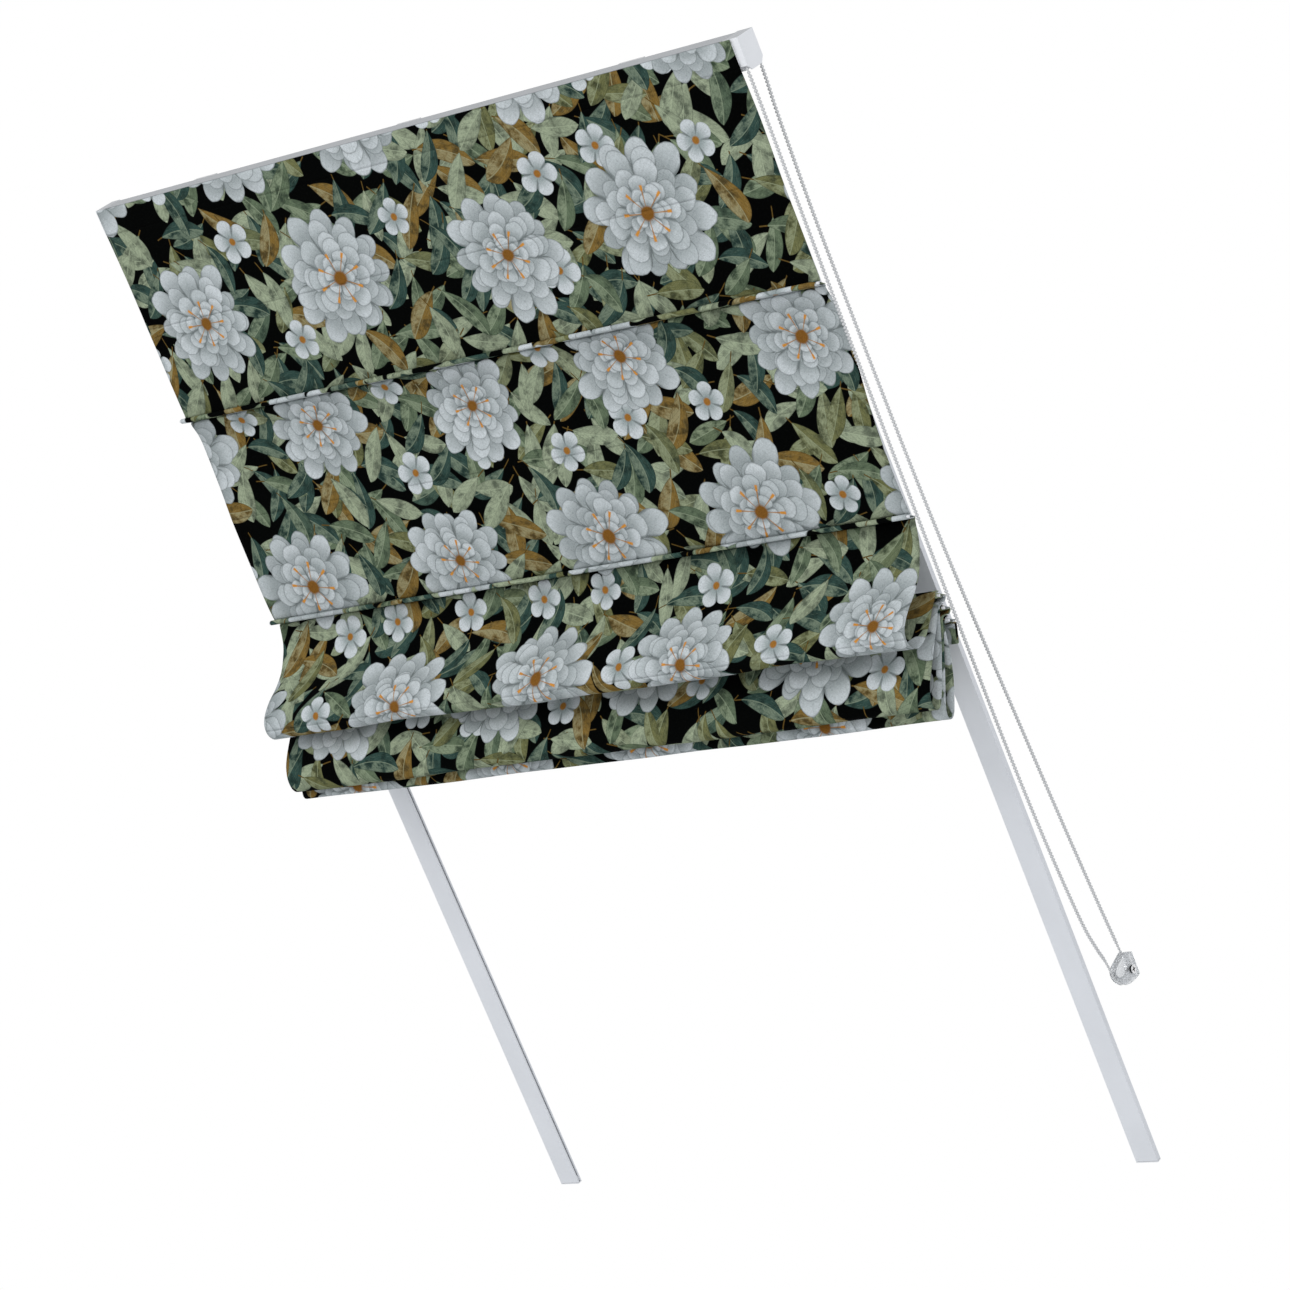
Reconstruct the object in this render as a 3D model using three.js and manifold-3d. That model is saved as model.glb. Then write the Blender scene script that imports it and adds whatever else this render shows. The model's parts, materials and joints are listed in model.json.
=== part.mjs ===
// Roman blind for a sloped roof window: headrail with chain drive, two side rails, and a
// patterned shade that hangs in folds from five stiffening rods and ends in a weighted hem.
// Millimetres and degrees. +X runs right along the headrail, +Z is up, -Y faces the room.
// The origin is the middle of the headrail's fixing plane on the sloping ceiling.
import * as THREE from 'three';
import { mergeVertices } from 'three/addons/utils/BufferGeometryUtils.js';
import Module from 'manifold-3d';

// Overall sizes
const roofPitchDegrees = 55.6;
const blindWidth = 900;
const headrailDepth = 29.4;
const headrailHeight = 35;
const railLength = 1248;
const railWidth = 27;
const railThickness = 6.5;
const railInset = 32;

// Shade
const shadeLeftInset = 2.6;
const shadeRightInset = 8.4;
const clothThickness = 0.8;
const headingDepth = 30;
const rodSpacing = 254;
const firstRodExtra = 4;
const stackTopShare = 0.34646;
const stackPitch = 14;
const neckStandoff = 28;
const panelSteps = 56;

// Rods and their pockets
const rodDiameter = 3.2;
const pocketDepth = 17;
const pocketDroopDegrees = 8.5;
const rodOverhang = 2.5;

// Bottom bar and its hem
const bottomBarWidth = 16;
const bottomBarThickness = 2.6;
const hemWidth = 22;
const hemLeanDegrees = 10;

// Clearances
const seatGap = 0.3;
const runningGap = 0.5;
const cutOverrun = 1;

// Headrail section
const headrailWall = 1.5;
const headrailLip = 5;
const plainCapLength = 13;
const chainCapLength = 18;
const capPlugLength = 10;
const capChamfer = 6;
const clipThickness = 1.2;
const clipWidth = 32;
const clipCount = 3;
const clipHoleDiameter = 4.5;
const clipHoleSpacing = 16;
const clipHookDepth = 3;
const tapeThickness = 0.5;
const tapeWidth = 20;

// Chain, chain wheel and the drive inside the headrail
const beadPitch = 3.8;
const chainDiameter = 3;
const wheelPockets = 20;
const wheelCapInset = 3.6;
const wheelFlangeRim = 1.4;
const wheelFlangeThickness = 2.2;
const chainSides = 8;
const arcSteps = 10;
const strandSteps = 26;
const chainOverlap = 0.4;
const shaftAcross = 6;
const shaftSeatDepth = 6;
const hubDiameter = 11;
const spoolCoreDiameter = 15;
const spoolFlangeDiameter = 20;
const spoolFlangeThickness = 1.2;
const spoolLength = 26;
const spoolCount = 3;
const cradleThickness = 2.4;
const cradleDepth = 21;
const roundSegments = 24;

// Chain tensioner on the ceiling beside the right rail
const tensionerTopDrop = 1027;
const tensionerLength = 32.5;
const tensionerHeight = 39.5;
const tensionerThickness = 8;
const tensionerCheek = 2;
const tensionerOuterOffset = 28.8;
const tensionerChainInset = 6;
const tensionerChainStandoff = 26.7;
const tensionerChainRadius = 14.5;
const tensionerFootHeight = 6.5;
const tensionerScrewInset = 20.5;
const tensionerScrewStandoff = 11;
const screwHeadDiameter = 9;
const screwHeadHeight = 2.4;
const screwShankDiameter = 4;
const screwSlotLength = 6;
const screwSlotWidth = 1.3;
const screwSlotDepth = 1.1;

// Side rail section and end plugs
const railWall = 1.3;
const railSlot = 2.4;
const plugLength = 8;
const plugPlate = 1.2;

// Runners that carry each rod along the side rails
const runnerLength = 13.4;
const runnerFootWidth = 7;
const runnerBodyWidth = 4;
const runnerBodyThickness = 5;
const runnerPadWidth = 16;
const runnerPadThickness = 1.6;
const runnerArmThickness = 3;

// Colours
const white = 0xf1f2f4;
const greyWhite = 0xd9dce2;
const clear = 0xc9ced3;
const steel = 0xb4b8bd;
const clothColour = 0x4f5a48;
const rodColour = 0xe8e6df;
const chainColour = 0xd6d8da;
const screwSteel = 0x9a9da2;

// Derived values
const pitch = THREE.MathUtils.degToRad(roofPitchDegrees);
const halfWidth = blindWidth / 2;
const originDrop = headrailHeight / 2;
const shadeLeft = -halfWidth + shadeLeftInset;
const shadeRight = halfWidth - shadeRightInset;
const shadeWidth = shadeRight - shadeLeft;
const railOuter = halfWidth - railInset;
const railInner = railOuter - railWidth;
const railTop = headrailHeight + seatGap;
const shaftDrop = headrailHeight / 2;
const shaftStandoff = headrailDepth / 2;
const wheelRadius = wheelPockets * beadPitch / (2 * Math.PI);
const wheelX = halfWidth - wheelCapInset;
const clipSpacing = blindWidth / clipCount;
const spoolSpacing = blindWidth / spoolCount;
const tensionerOuter = halfWidth + tensionerOuterOffset;
const tensionerX = tensionerOuter - tensionerThickness / 2;
const tensionerChainDrop = tensionerTopDrop + tensionerChainInset;
const tensionerScrewDrop = tensionerTopDrop + tensionerScrewInset;
const firstRodDrop = rodSpacing + firstRodExtra;
const stackTopDrop = firstRodDrop + (1 + stackTopShare) * rodSpacing;
const rodDrops = [
  firstRodDrop,
  firstRodDrop + rodSpacing,
  stackTopDrop,
  stackTopDrop + stackPitch,
  stackTopDrop + 2 * stackPitch,
];
const pocketRadius = rodDiameter / 2 + seatGap + clothThickness;
const pocketDroop = THREE.MathUtils.degToRad(pocketDroopDegrees);

const wasm = await Module();
wasm.setup();

// A closed mesh of shared vertices as a solid that can be cut and joined
function toSolid(geometry) {
  const plain = geometry.clone();
  plain.deleteAttribute('normal');
  plain.deleteAttribute('uv');
  const merged = mergeVertices(plain.index ? plain.toNonIndexed() : plain);
  return new wasm.Manifold(new wasm.Mesh({
    numProp: 3,
    vertProperties: new Float32Array(merged.attributes.position.array),
    triVerts: new Uint32Array(merged.index.array),
  }));
}

function toGeometry(solid) {
  const mesh = solid.getMesh();
  const geometry = new THREE.BufferGeometry();
  geometry.setAttribute('position', new THREE.BufferAttribute(mesh.vertProperties, 3));
  geometry.setIndex(new THREE.BufferAttribute(mesh.triVerts, 1));
  geometry.computeVertexNormals();
  return geometry;
}

function cut(base, ...tools) {
  return toGeometry(tools.reduce((left, tool) => left.subtract(toSolid(tool)), toSolid(base)));
}

function join(...bodies) {
  return toGeometry(bodies.map(toSolid).reduce((sum, body) => sum.add(body)));
}

function overlap(first, second) {
  return toGeometry(toSolid(first).intersect(toSolid(second)));
}

function outline(points) {
  return new THREE.Shape(points.map(([u, v]) => new THREE.Vector2(u, v)));
}

// A section drawn across the blind, with its first size along Y and its second along Z
function alongX(shape, left, right) {
  const geometry = new THREE.ExtrudeGeometry(shape, {
    depth: right - left,
    bevelEnabled: false,
    curveSegments: roundSegments / 2,
  });
  const turn = new THREE.Matrix4().makeBasis(
    new THREE.Vector3(0, 1, 0),
    new THREE.Vector3(0, 0, 1),
    new THREE.Vector3(1, 0, 0),
  );
  return geometry.applyMatrix4(turn).translate(left, 0, 0);
}

// A section drawn on the slope, with X across and the standoff upwards, run down the slope
function downSlope(shape, from, to) {
  const geometry = new THREE.ExtrudeGeometry(shape, { depth: to - from, bevelEnabled: false });
  const turn = new THREE.Matrix4().makeBasis(
    new THREE.Vector3(1, 0, 0),
    new THREE.Vector3(0, 0, 1),
    new THREE.Vector3(0, -1, 0),
  );
  return geometry.applyMatrix4(turn).translate(0, -from, 0);
}

// A block on the slope between two drops, two standoffs and two places across
function slopeBlock(left, right, from, to, low, high) {
  const geometry = new THREE.BoxGeometry(right - left, to - from, high - low);
  return geometry.translate((left + right) / 2, -(from + to) / 2, (low + high) / 2);
}

// A cylinder whose axis lies across the blind
function crossCylinder(diameter, left, right, drop, standoff, sides = roundSegments) {
  const radius = diameter / 2;
  const geometry = new THREE.CylinderGeometry(radius, radius, right - left, sides);
  return geometry.rotateZ(-Math.PI / 2).translate((left + right) / 2, -drop, standoff);
}

// Where a place on the slope lies in the room, as its Y and Z
function roomPoint(drop, standoff) {
  const down = drop - originDrop;
  return new THREE.Vector2(
    down * Math.cos(pitch) - standoff * Math.sin(pitch),
    -down * Math.sin(pitch) - standoff * Math.cos(pitch),
  );
}

const blind = new THREE.Group();
const slope = new THREE.Group();
slope.rotation.x = Math.PI - pitch;
const layout = new THREE.Group();
layout.position.y = originDrop;
slope.add(layout);
blind.add(slope);

function addPart(parent, name, geometry, color, roughness = 0.5, metalness = 0) {
  const material = new THREE.MeshStandardMaterial({ color, roughness, metalness });
  const mesh = new THREE.Mesh(geometry, material);
  mesh.name = name;
  parent.add(mesh);
  return mesh;
}

// Headrail: a channel that is open towards its lower side, with two lips. Its upper back corner
// is stepped, so that the clips' upper hooks lie flush with its top.
const headrailBack = clipThickness + seatGap;
const stepDepth = clipThickness + seatGap;
const stepFront = headrailBack + clipHookDepth + seatGap;
const headrailLeft = -halfWidth + plainCapLength + seatGap;
const headrailRight = halfWidth - chainCapLength - seatGap;

function headrail() {
  const inner = headrailWall;
  const bottom = -headrailHeight;
  const section = outline([
    [-stepDepth, headrailBack],
    [-stepDepth, stepFront],
    [0, stepFront],
    [0, headrailDepth],
    [bottom, headrailDepth],
    [bottom, headrailDepth - headrailLip],
    [bottom + inner, headrailDepth - headrailLip],
    [bottom + inner, headrailDepth - inner],
    [-inner, headrailDepth - inner],
    [-inner, stepFront + inner],
    [-stepDepth - inner, stepFront + inner],
    [-stepDepth - inner, headrailBack + inner],
    [bottom + inner, headrailBack + inner],
    [bottom + inner, headrailBack + headrailLip],
    [bottom, headrailBack + headrailLip],
    [bottom, headrailBack],
  ]);
  return alongX(section, headrailLeft, headrailRight);
}

// End caps: the headrail's outline with both lower corners cut off
const capOutline = outline([
  [0, 0],
  [0, headrailDepth],
  [capChamfer - headrailHeight, headrailDepth],
  [-headrailHeight, headrailDepth - capChamfer],
  [-headrailHeight, capChamfer],
  [capChamfer - headrailHeight, 0],
]);

// The stub that fills the channel's mouth and centres the cap on it
function capPlug(left, right) {
  const margin = headrailWall + seatGap;
  return slopeBlock(
    left, right, margin, headrailHeight - margin, stepFront + margin, headrailDepth - margin,
  );
}

const driveBore = hubDiameter + 2 * runningGap;

function plainCap() {
  const cap = alongX(capOutline, -halfWidth, -halfWidth + plainCapLength);
  const plugStart = -halfWidth + plainCapLength - cutOverrun;
  const plug = capPlug(plugStart, plugStart + cutOverrun + capPlugLength);
  const bore = crossCylinder(
    driveBore, -halfWidth + plainCapLength / 2, plugStart + 2 * capPlugLength,
    shaftDrop, shaftStandoff,
  );
  return toGeometry(toSolid(cap).add(toSolid(plug)).subtract(toSolid(bore)));
}

const chainSpaceRadius = wheelRadius + chainDiameter / 2 + seatGap;
const chainSpaceLeft = wheelX - chainDiameter / 2 - wheelFlangeThickness - 2 * runningGap;
const chainSpaceRight = wheelX + chainDiameter / 2 + runningGap;

function chainCap() {
  const cap = alongX(capOutline, halfWidth - chainCapLength, halfWidth);
  const plugEnd = halfWidth - chainCapLength + cutOverrun;
  const plug = capPlug(plugEnd - cutOverrun - capPlugLength, plugEnd);
  const wheelSpace = crossCylinder(
    2 * chainSpaceRadius, chainSpaceLeft, chainSpaceRight, shaftDrop, shaftStandoff,
  );
  const mouth = slopeBlock(
    chainSpaceLeft, chainSpaceRight, shaftDrop, headrailHeight + cutOverrun,
    shaftStandoff - chainSpaceRadius, shaftStandoff + chainSpaceRadius,
  );
  const bore = crossCylinder(
    driveBore, plugEnd - 2 * capPlugLength, wheelX, shaftDrop, shaftStandoff,
  );
  const body = toSolid(cap).add(toSolid(plug));
  const hollow = toSolid(wheelSpace).add(toSolid(mouth)).add(toSolid(bore));
  return toGeometry(body.subtract(hollow));
}

// Ceiling clips: sprung plates behind the headrail with two screw holes and a hook at each edge
function ceilingClip() {
  const half = clipWidth / 2;
  const hook = clipHookDepth;
  const section = outline([
    [0, 0],
    [0, headrailBack + hook],
    [-clipThickness, headrailBack + hook],
    [-clipThickness, clipThickness],
    [-headrailHeight - seatGap, clipThickness],
    [-headrailHeight - seatGap, headrailBack + hook],
    [-headrailHeight - seatGap - clipThickness, headrailBack + hook],
    [-headrailHeight - seatGap - clipThickness, 0],
  ]);
  const holes = [-1, 1].map((side) => {
    const radius = clipHoleDiameter / 2;
    const hole = new THREE.CylinderGeometry(
      radius, radius, clipThickness + 2 * cutOverrun, roundSegments,
    );
    const across = side * clipHoleSpacing / 2;
    return hole.rotateX(Math.PI / 2).translate(across, -originDrop, clipThickness / 2);
  });
  return cut(alongX(section, -half, half), ...holes);
}

addPart(layout, 'headrail_profile', headrail(), greyWhite, 0.35, 0.1);
addPart(layout, 'end_cap_plain', plainCap(), white, 0.45);
addPart(layout, 'end_cap_chain', chainCap(), white, 0.45);
for (let i = 0; i < clipCount; i += 1) {
  const clip = addPart(layout, `ceiling_clip_${i + 1}`, ceilingClip(), steel, 0.4, 0.8);
  clip.position.x = (i - (clipCount - 1) / 2) * clipSpacing;
}

// Hook and loop tape on the headrail's front, with the shade's heading on it
const tapeFront = headrailDepth + seatGap + tapeThickness;
const headingCentre = tapeFront + seatGap + clothThickness / 2;
addPart(
  layout,
  'heading_tape',
  slopeBlock(
    shadeLeft, shadeRight, (headingDepth - tapeWidth) / 2, (headingDepth + tapeWidth) / 2,
    headrailDepth + seatGap, tapeFront,
  ),
  white,
  0.9,
);
addPart(
  layout,
  'shade_heading',
  slopeBlock(
    shadeLeft, shadeRight, 0, headingDepth - seatGap,
    headingCentre - clothThickness / 2, headingCentre + clothThickness / 2,
  ),
  clothColour,
  0.95,
);

// Side rails: flat boxes with a slot along the side that faces the window
function sideRail(side) {
  const outer = side * railOuter;
  const inner = side * railInner;
  const wall = side * railWall;
  const slotLow = (railThickness - railSlot) / 2;
  const slotHigh = (railThickness + railSlot) / 2;
  const section = outline([
    [outer, 0],
    [outer, railThickness],
    [inner, railThickness],
    [inner, slotHigh],
    [inner + wall, slotHigh],
    [inner + wall, railThickness - railWall],
    [outer - wall, railThickness - railWall],
    [outer - wall, railWall],
    [inner + wall, railWall],
    [inner + wall, slotLow],
    [inner, slotLow],
    [inner, 0],
  ]);
  return downSlope(section, railTop, railTop + railLength - plugPlate - seatGap);
}

// End plug: a plate over the rail's lower end with a tongue up inside it
function railPlug(side) {
  const outer = side * railOuter;
  const inner = side * railInner;
  const end = railTop + railLength;
  const margin = railWall + seatGap;
  const reach = [outer - side * margin, inner + side * margin];
  const plate = slopeBlock(
    Math.min(outer, inner), Math.max(outer, inner), end - plugPlate, end, 0, railThickness,
  );
  const tongue = slopeBlock(
    Math.min(...reach), Math.max(...reach), end - plugPlate - plugLength, end - plugPlate / 2,
    margin, railThickness - margin,
  );
  return join(plate, tongue);
}

for (const [label, side] of [['left', -1], ['right', 1]]) {
  addPart(layout, `side_rail_${label}`, sideRail(side), white, 0.4, 0.1);
  addPart(layout, `rail_plug_${label}`, railPlug(side), white, 0.5);
}

// Drive: square shaft, chain wheel and cord spools turning in cradles inside the headrail
const hubLeft = headrailRight - capPlugLength - 2 * shaftSeatDepth;
const shaftLeft = headrailLeft + capPlugLength / 2;
const shaftHole = shaftAcross + 2 * seatGap;

function chainWheel() {
  const grooveRadius = wheelRadius - chainDiameter / 2 - seatGap;
  const flangeRadius = wheelRadius + wheelFlangeRim;
  const flangeRight = wheelX - chainDiameter / 2 - seatGap;
  const flangeLeft = flangeRight - wheelFlangeThickness;
  const flange = crossCylinder(2 * flangeRadius, flangeLeft, flangeRight, shaftDrop, shaftStandoff);
  const core = crossCylinder(
    2 * grooveRadius, flangeLeft, wheelX + chainDiameter / 2, shaftDrop, shaftStandoff,
  );
  const hub = crossCylinder(hubDiameter, hubLeft, flangeRight, shaftDrop, shaftStandoff);
  const socket = slopeBlock(
    hubLeft - cutOverrun, hubLeft + shaftSeatDepth,
    shaftDrop - shaftHole / 2, shaftDrop + shaftHole / 2,
    shaftStandoff - shaftHole / 2, shaftStandoff + shaftHole / 2,
  );
  const pockets = [];
  for (let i = 0; i < wheelPockets; i += 1) {
    const angle = 2 * Math.PI * i / wheelPockets;
    pockets.push(crossCylinder(
      chainDiameter, flangeRight - wheelFlangeThickness / 2, flangeRight + cutOverrun,
      shaftDrop + wheelRadius * Math.cos(angle), shaftStandoff + wheelRadius * Math.sin(angle),
      chainSides,
    ));
  }
  return cut(join(flange, core, hub), socket, ...pockets);
}

function liftShaft() {
  const half = shaftAcross / 2;
  return slopeBlock(
    shaftLeft, hubLeft + shaftSeatDepth - seatGap,
    shaftDrop - half, shaftDrop + half, shaftStandoff - half, shaftStandoff + half,
  );
}

// A spool is one turned piece with a square hole for the shaft
function cordSpool() {
  const core = spoolCoreDiameter / 2;
  const rim = spoolFlangeDiameter / 2;
  const half = spoolLength / 2;
  const profile = [
    [0, -half],
    [rim, -half],
    [rim, spoolFlangeThickness - half],
    [core, 2 * spoolFlangeThickness - half],
    [core, half - 2 * spoolFlangeThickness],
    [rim, half - spoolFlangeThickness],
    [rim, half],
    [0, half],
  ].map(([radius, height]) => new THREE.Vector2(radius, height));
  const turned = new THREE.LatheGeometry(profile, roundSegments);
  turned.rotateZ(-Math.PI / 2).translate(0, -shaftDrop, shaftStandoff);
  const hole = slopeBlock(
    -spoolLength, spoolLength,
    shaftDrop - shaftHole / 2, shaftDrop + shaftHole / 2,
    shaftStandoff - shaftHole / 2, shaftStandoff + shaftHole / 2,
  );
  return cut(turned, hole);
}

// Cradle: two cheeks on a floor plate, clipped in the channel, with a notch for the shaft
function spoolCradle() {
  const reach = spoolLength / 2 + runningGap + cradleThickness;
  const margin = headrailWall + seatGap;
  const roof = margin + cradleThickness / 2;
  const low = stepFront + margin;
  const high = headrailDepth - margin;
  const shell = slopeBlock(-reach, reach, margin, margin + cradleDepth, low, high);
  const room = slopeBlock(
    cradleThickness - reach, reach - cradleThickness, roof, margin + cradleDepth + cutOverrun,
    low - cutOverrun, high + cutOverrun,
  );
  const notchHalf = shaftAcross / Math.SQRT2 + runningGap;
  const bearing = crossCylinder(2 * notchHalf, -2 * reach, 2 * reach, shaftDrop, shaftStandoff);
  const notch = slopeBlock(
    -2 * reach, 2 * reach, shaftDrop, margin + cradleDepth + cutOverrun,
    shaftStandoff - notchHalf, shaftStandoff + notchHalf,
  );
  return cut(shell, room, bearing, notch);
}

addPart(layout, 'chain_wheel', chainWheel(), white, 0.4);
addPart(layout, 'lift_shaft', liftShaft(), steel, 0.35, 0.9);
for (let i = 0; i < spoolCount; i += 1) {
  const across = (i - (spoolCount - 1) / 2) * spoolSpacing;
  addPart(layout, `cord_spool_${i + 1}`, cordSpool(), white, 0.5).position.x = across;
  addPart(layout, `spool_cradle_${i + 1}`, spoolCradle(), greyWhite, 0.5).position.x = across;
}

// Chain strands, chosen by hand. The first two shares run from the wheel's centre to the
// tensioner's, across and down the slope. The third is a share of the tensioner's height.
const backStrandShares = [
  [0.0358, 0.032, 0.1316],
  [0.0717, 0.0615, 0.2355],
  [0.129, 0.1039, 0.3443],
  [0.2007, 0.1797, 0.481],
  [0.3082, 0.288, 0.5975],
  [0.4158, 0.4062, 0.6835],
  [0.5018, 0.4948, 0.724],
  [0.595, 0.5933, 0.6936],
  [0.7025, 0.7016, 0.6228],
  [0.81, 0.8198, 0.5265],
  [0.9176, 0.9281, 0.4152],
  [0.9821, 0.9852, 0.3342],
];
const frontStrandShares = [
  [0.9857, 0.9852, 1.1038],
  [0.9606, 0.9675, 1.2304],
  [0.9176, 0.938, 1.3671],
  [0.8602, 0.8789, 1.4582],
  [0.7742, 0.8099, 1.4835],
  [0.6882, 0.7312, 1.4531],
  [0.5806, 0.6228, 1.357],
  [0.4659, 0.5047, 1.2405],
  [0.3584, 0.3964, 1.1292],
  [0.2366, 0.2782, 0.9873],
  [0.129, 0.16, 0.8455],
  [0.0573, 0.0714, 0.7392],
  [0.0215, 0.032, 0.6987],
];

// One length of chain as a tube along its points
function chainRun(points, steps) {
  const section = new THREE.Shape();
  for (let k = 0; k < chainSides; k += 1) {
    const angle = 2 * Math.PI * k / chainSides;
    const corner = [chainDiameter / 2 * Math.cos(angle), chainDiameter / 2 * Math.sin(angle)];
    if (k === 0) section.moveTo(...corner);
    else section.lineTo(...corner);
  }
  const places = points.map(([across, drop, standoff]) => (
    new THREE.Vector3(across, -drop, standoff)
  ));
  const extrudePath = new THREE.CatmullRomCurve3(places);
  return new THREE.ExtrudeGeometry(section, { steps, extrudePath });
}

// Half a turn round a wheel, towards the top when side is -1 and the bottom when it is 1
function halfTurn(across, drop, standoff, radius, side) {
  const points = [];
  for (let i = 0; i <= arcSteps; i += 1) {
    const angle = Math.PI * i / arcSteps;
    points.push([across, drop + side * radius * Math.sin(angle), standoff - radius * Math.cos(angle)]);
  }
  return points;
}

// The chain goes over the chain wheel, down the back strand, round the tensioner and up again
function chainLoop() {
  const over = halfTurn(wheelX, shaftDrop, shaftStandoff, wheelRadius, -1);
  const under = halfTurn(
    tensionerX, tensionerChainDrop, tensionerChainStandoff, tensionerChainRadius, 1,
  );
  const ends = (turn, side) => [turn[0], turn[arcSteps]].map(([across, drop, standoff]) => (
    [across, drop + side * chainOverlap, standoff]
  ));
  const [topBack, topFront] = ends(over, -1);
  const [lowBack, lowFront] = ends(under, 1);
  const [back, front] = [backStrandShares, frontStrandShares].map((strand) => (
    strand.map(([across, down, out]) => [
      wheelX + across * (tensionerX - wheelX),
      shaftDrop + down * (tensionerChainDrop - shaftDrop),
      out * tensionerHeight,
    ])
  ));
  return join(
    chainRun(over, arcSteps),
    chainRun([topBack, ...back, lowBack], strandSteps),
    chainRun(under, arcSteps),
    chainRun([lowFront, ...front, topFront], strandSteps),
  );
}

// Tensioner: two clear cheeks joined by a core that the chain runs round, standing on the ceiling
const cheekShares = [
  [0.175, 0],
  [0.985, 0],
  [1, 0.09],
  [0.995, 0.3],
  [0.96, 0.555],
  [0.885, 0.73],
  [0.725, 0.87],
  [0.6, 0.945],
  [0.46, 0.992],
  [0.34, 1],
  [0.23, 0.975],
  [0.16, 0.9],
  [0.125, 0.8],
  [0, 0.3],
];

function tensionerBody() {
  const shape = outline(cheekShares.map(([along, out]) => (
    [-tensionerTopDrop - along * tensionerLength, out * tensionerHeight]
  )));
  const left = tensionerOuter - tensionerThickness;
  const inner = alongX(shape, left, left + tensionerCheek);
  const outer = alongX(shape, tensionerOuter - tensionerCheek, tensionerOuter);
  const coreRadius = tensionerChainRadius - chainDiameter / 2 - seatGap;
  const coreLeft = left + tensionerCheek / 2;
  const coreRight = tensionerOuter - tensionerCheek / 2;
  const core = overlap(alongX(shape, coreLeft, coreRight), crossCylinder(
    2 * coreRadius, coreLeft, coreRight, tensionerChainDrop, tensionerChainStandoff,
  ));
  const [footStart, footEnd] = [cheekShares[0][0], cheekShares[1][0]];
  const foot = slopeBlock(
    coreLeft, coreRight,
    tensionerTopDrop + footStart * tensionerLength, tensionerTopDrop + footEnd * tensionerLength,
    0, tensionerFootHeight,
  );
  const hole = crossCylinder(
    screwShankDiameter + 2 * seatGap, left - cutOverrun, tensionerOuter + cutOverrun,
    tensionerScrewDrop, tensionerScrewStandoff,
  );
  return cut(join(inner, outer, core, foot), hole);
}

function tensionerScrew() {
  const headLeft = tensionerOuter + seatGap;
  const head = crossCylinder(
    screwHeadDiameter, headLeft, headLeft + screwHeadHeight,
    tensionerScrewDrop, tensionerScrewStandoff,
  );
  const shank = crossCylinder(
    screwShankDiameter, tensionerOuter - tensionerThickness, headLeft + screwHeadHeight / 2,
    tensionerScrewDrop, tensionerScrewStandoff,
  );
  const slots = [
    [screwSlotLength, screwSlotWidth],
    [screwSlotWidth, screwSlotLength],
  ].map(([tall, deep]) => slopeBlock(
    headLeft + screwHeadHeight - screwSlotDepth, headLeft + screwHeadHeight + cutOverrun,
    tensionerScrewDrop - tall / 2, tensionerScrewDrop + tall / 2,
    tensionerScrewStandoff - deep / 2, tensionerScrewStandoff + deep / 2,
  ));
  return cut(join(head, shank), ...slots);
}

addPart(layout, 'bead_chain', chainLoop(), chainColour, 0.35);
addPart(layout, 'tensioner_body', tensionerBody(), clear, 0.15);
addPart(layout, 'tensioner_screw', tensionerScrew(), screwSteel, 0.3, 0.9);

// Runner: a foot inside the rail's slot, a body beside the rail and a pad behind the shade
function runner(side, drop) {
  const from = drop - runnerLength / 2;
  const to = drop + runnerLength / 2;
  const wallIn = side * railInner;
  const middle = railThickness / 2;
  const footHalf = railThickness / 2 - railWall - seatGap;
  const neckHalf = railSlot / 2 - seatGap;
  const block = (a, b, low, high, start = from, end = to) => slopeBlock(
    Math.min(a, b), Math.max(a, b), start, end, low, high,
  );
  const bodyNear = wallIn - side * seatGap;
  const bodyFar = bodyNear - side * runnerBodyWidth;
  const footNear = wallIn + side * (railWall + seatGap);
  const bodyHalf = runnerBodyThickness / 2;
  const padTop = neckStandoff - clothThickness / 2 - seatGap;
  const body = block(bodyNear, bodyFar, middle - bodyHalf, middle + bodyHalf);
  const neck = block(bodyFar, footNear + side * seatGap, middle - neckHalf, middle + neckHalf);
  const foot = block(
    footNear, footNear + side * runnerFootWidth, middle - footHalf, middle + footHalf,
  );
  const arm = block(
    bodyFar, bodyFar + side * runnerArmThickness, middle, padTop - runnerPadThickness / 2,
    drop - runnerLength / 4, drop + runnerLength / 4,
  );
  const pad = block(bodyNear, bodyNear - side * runnerPadWidth, padTop - runnerPadThickness, padTop);
  return join(body, neck, foot, arm, pad);
}

// Rod pocket: a tuck of cloth from its stitched neck out round the rod
const neckHalfThickness = clothThickness;

function pocketSection() {
  const reach = pocketDepth - pocketRadius;
  const blend = Math.asin((pocketRadius - neckHalfThickness) / reach);
  const shape = new THREE.Shape();
  shape.moveTo(0, -neckHalfThickness);
  shape.lineTo(0, neckHalfThickness);
  shape.absarc(-reach, 0, pocketRadius, Math.PI / 2 - blend, blend - Math.PI / 2, false);
  const bore = new THREE.Path();
  bore.absarc(-reach, 0, rodDiameter / 2 + seatGap, 0, 2 * Math.PI, true);
  shape.holes.push(bore);
  return shape;
}

function rodCentre(neck) {
  const reach = pocketDepth - pocketRadius;
  return new THREE.Vector2(
    neck.x - reach * Math.cos(pocketDroop),
    neck.y - reach * Math.sin(pocketDroop),
  );
}

const necks = rodDrops.map((drop) => roomPoint(drop, neckStandoff));

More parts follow.
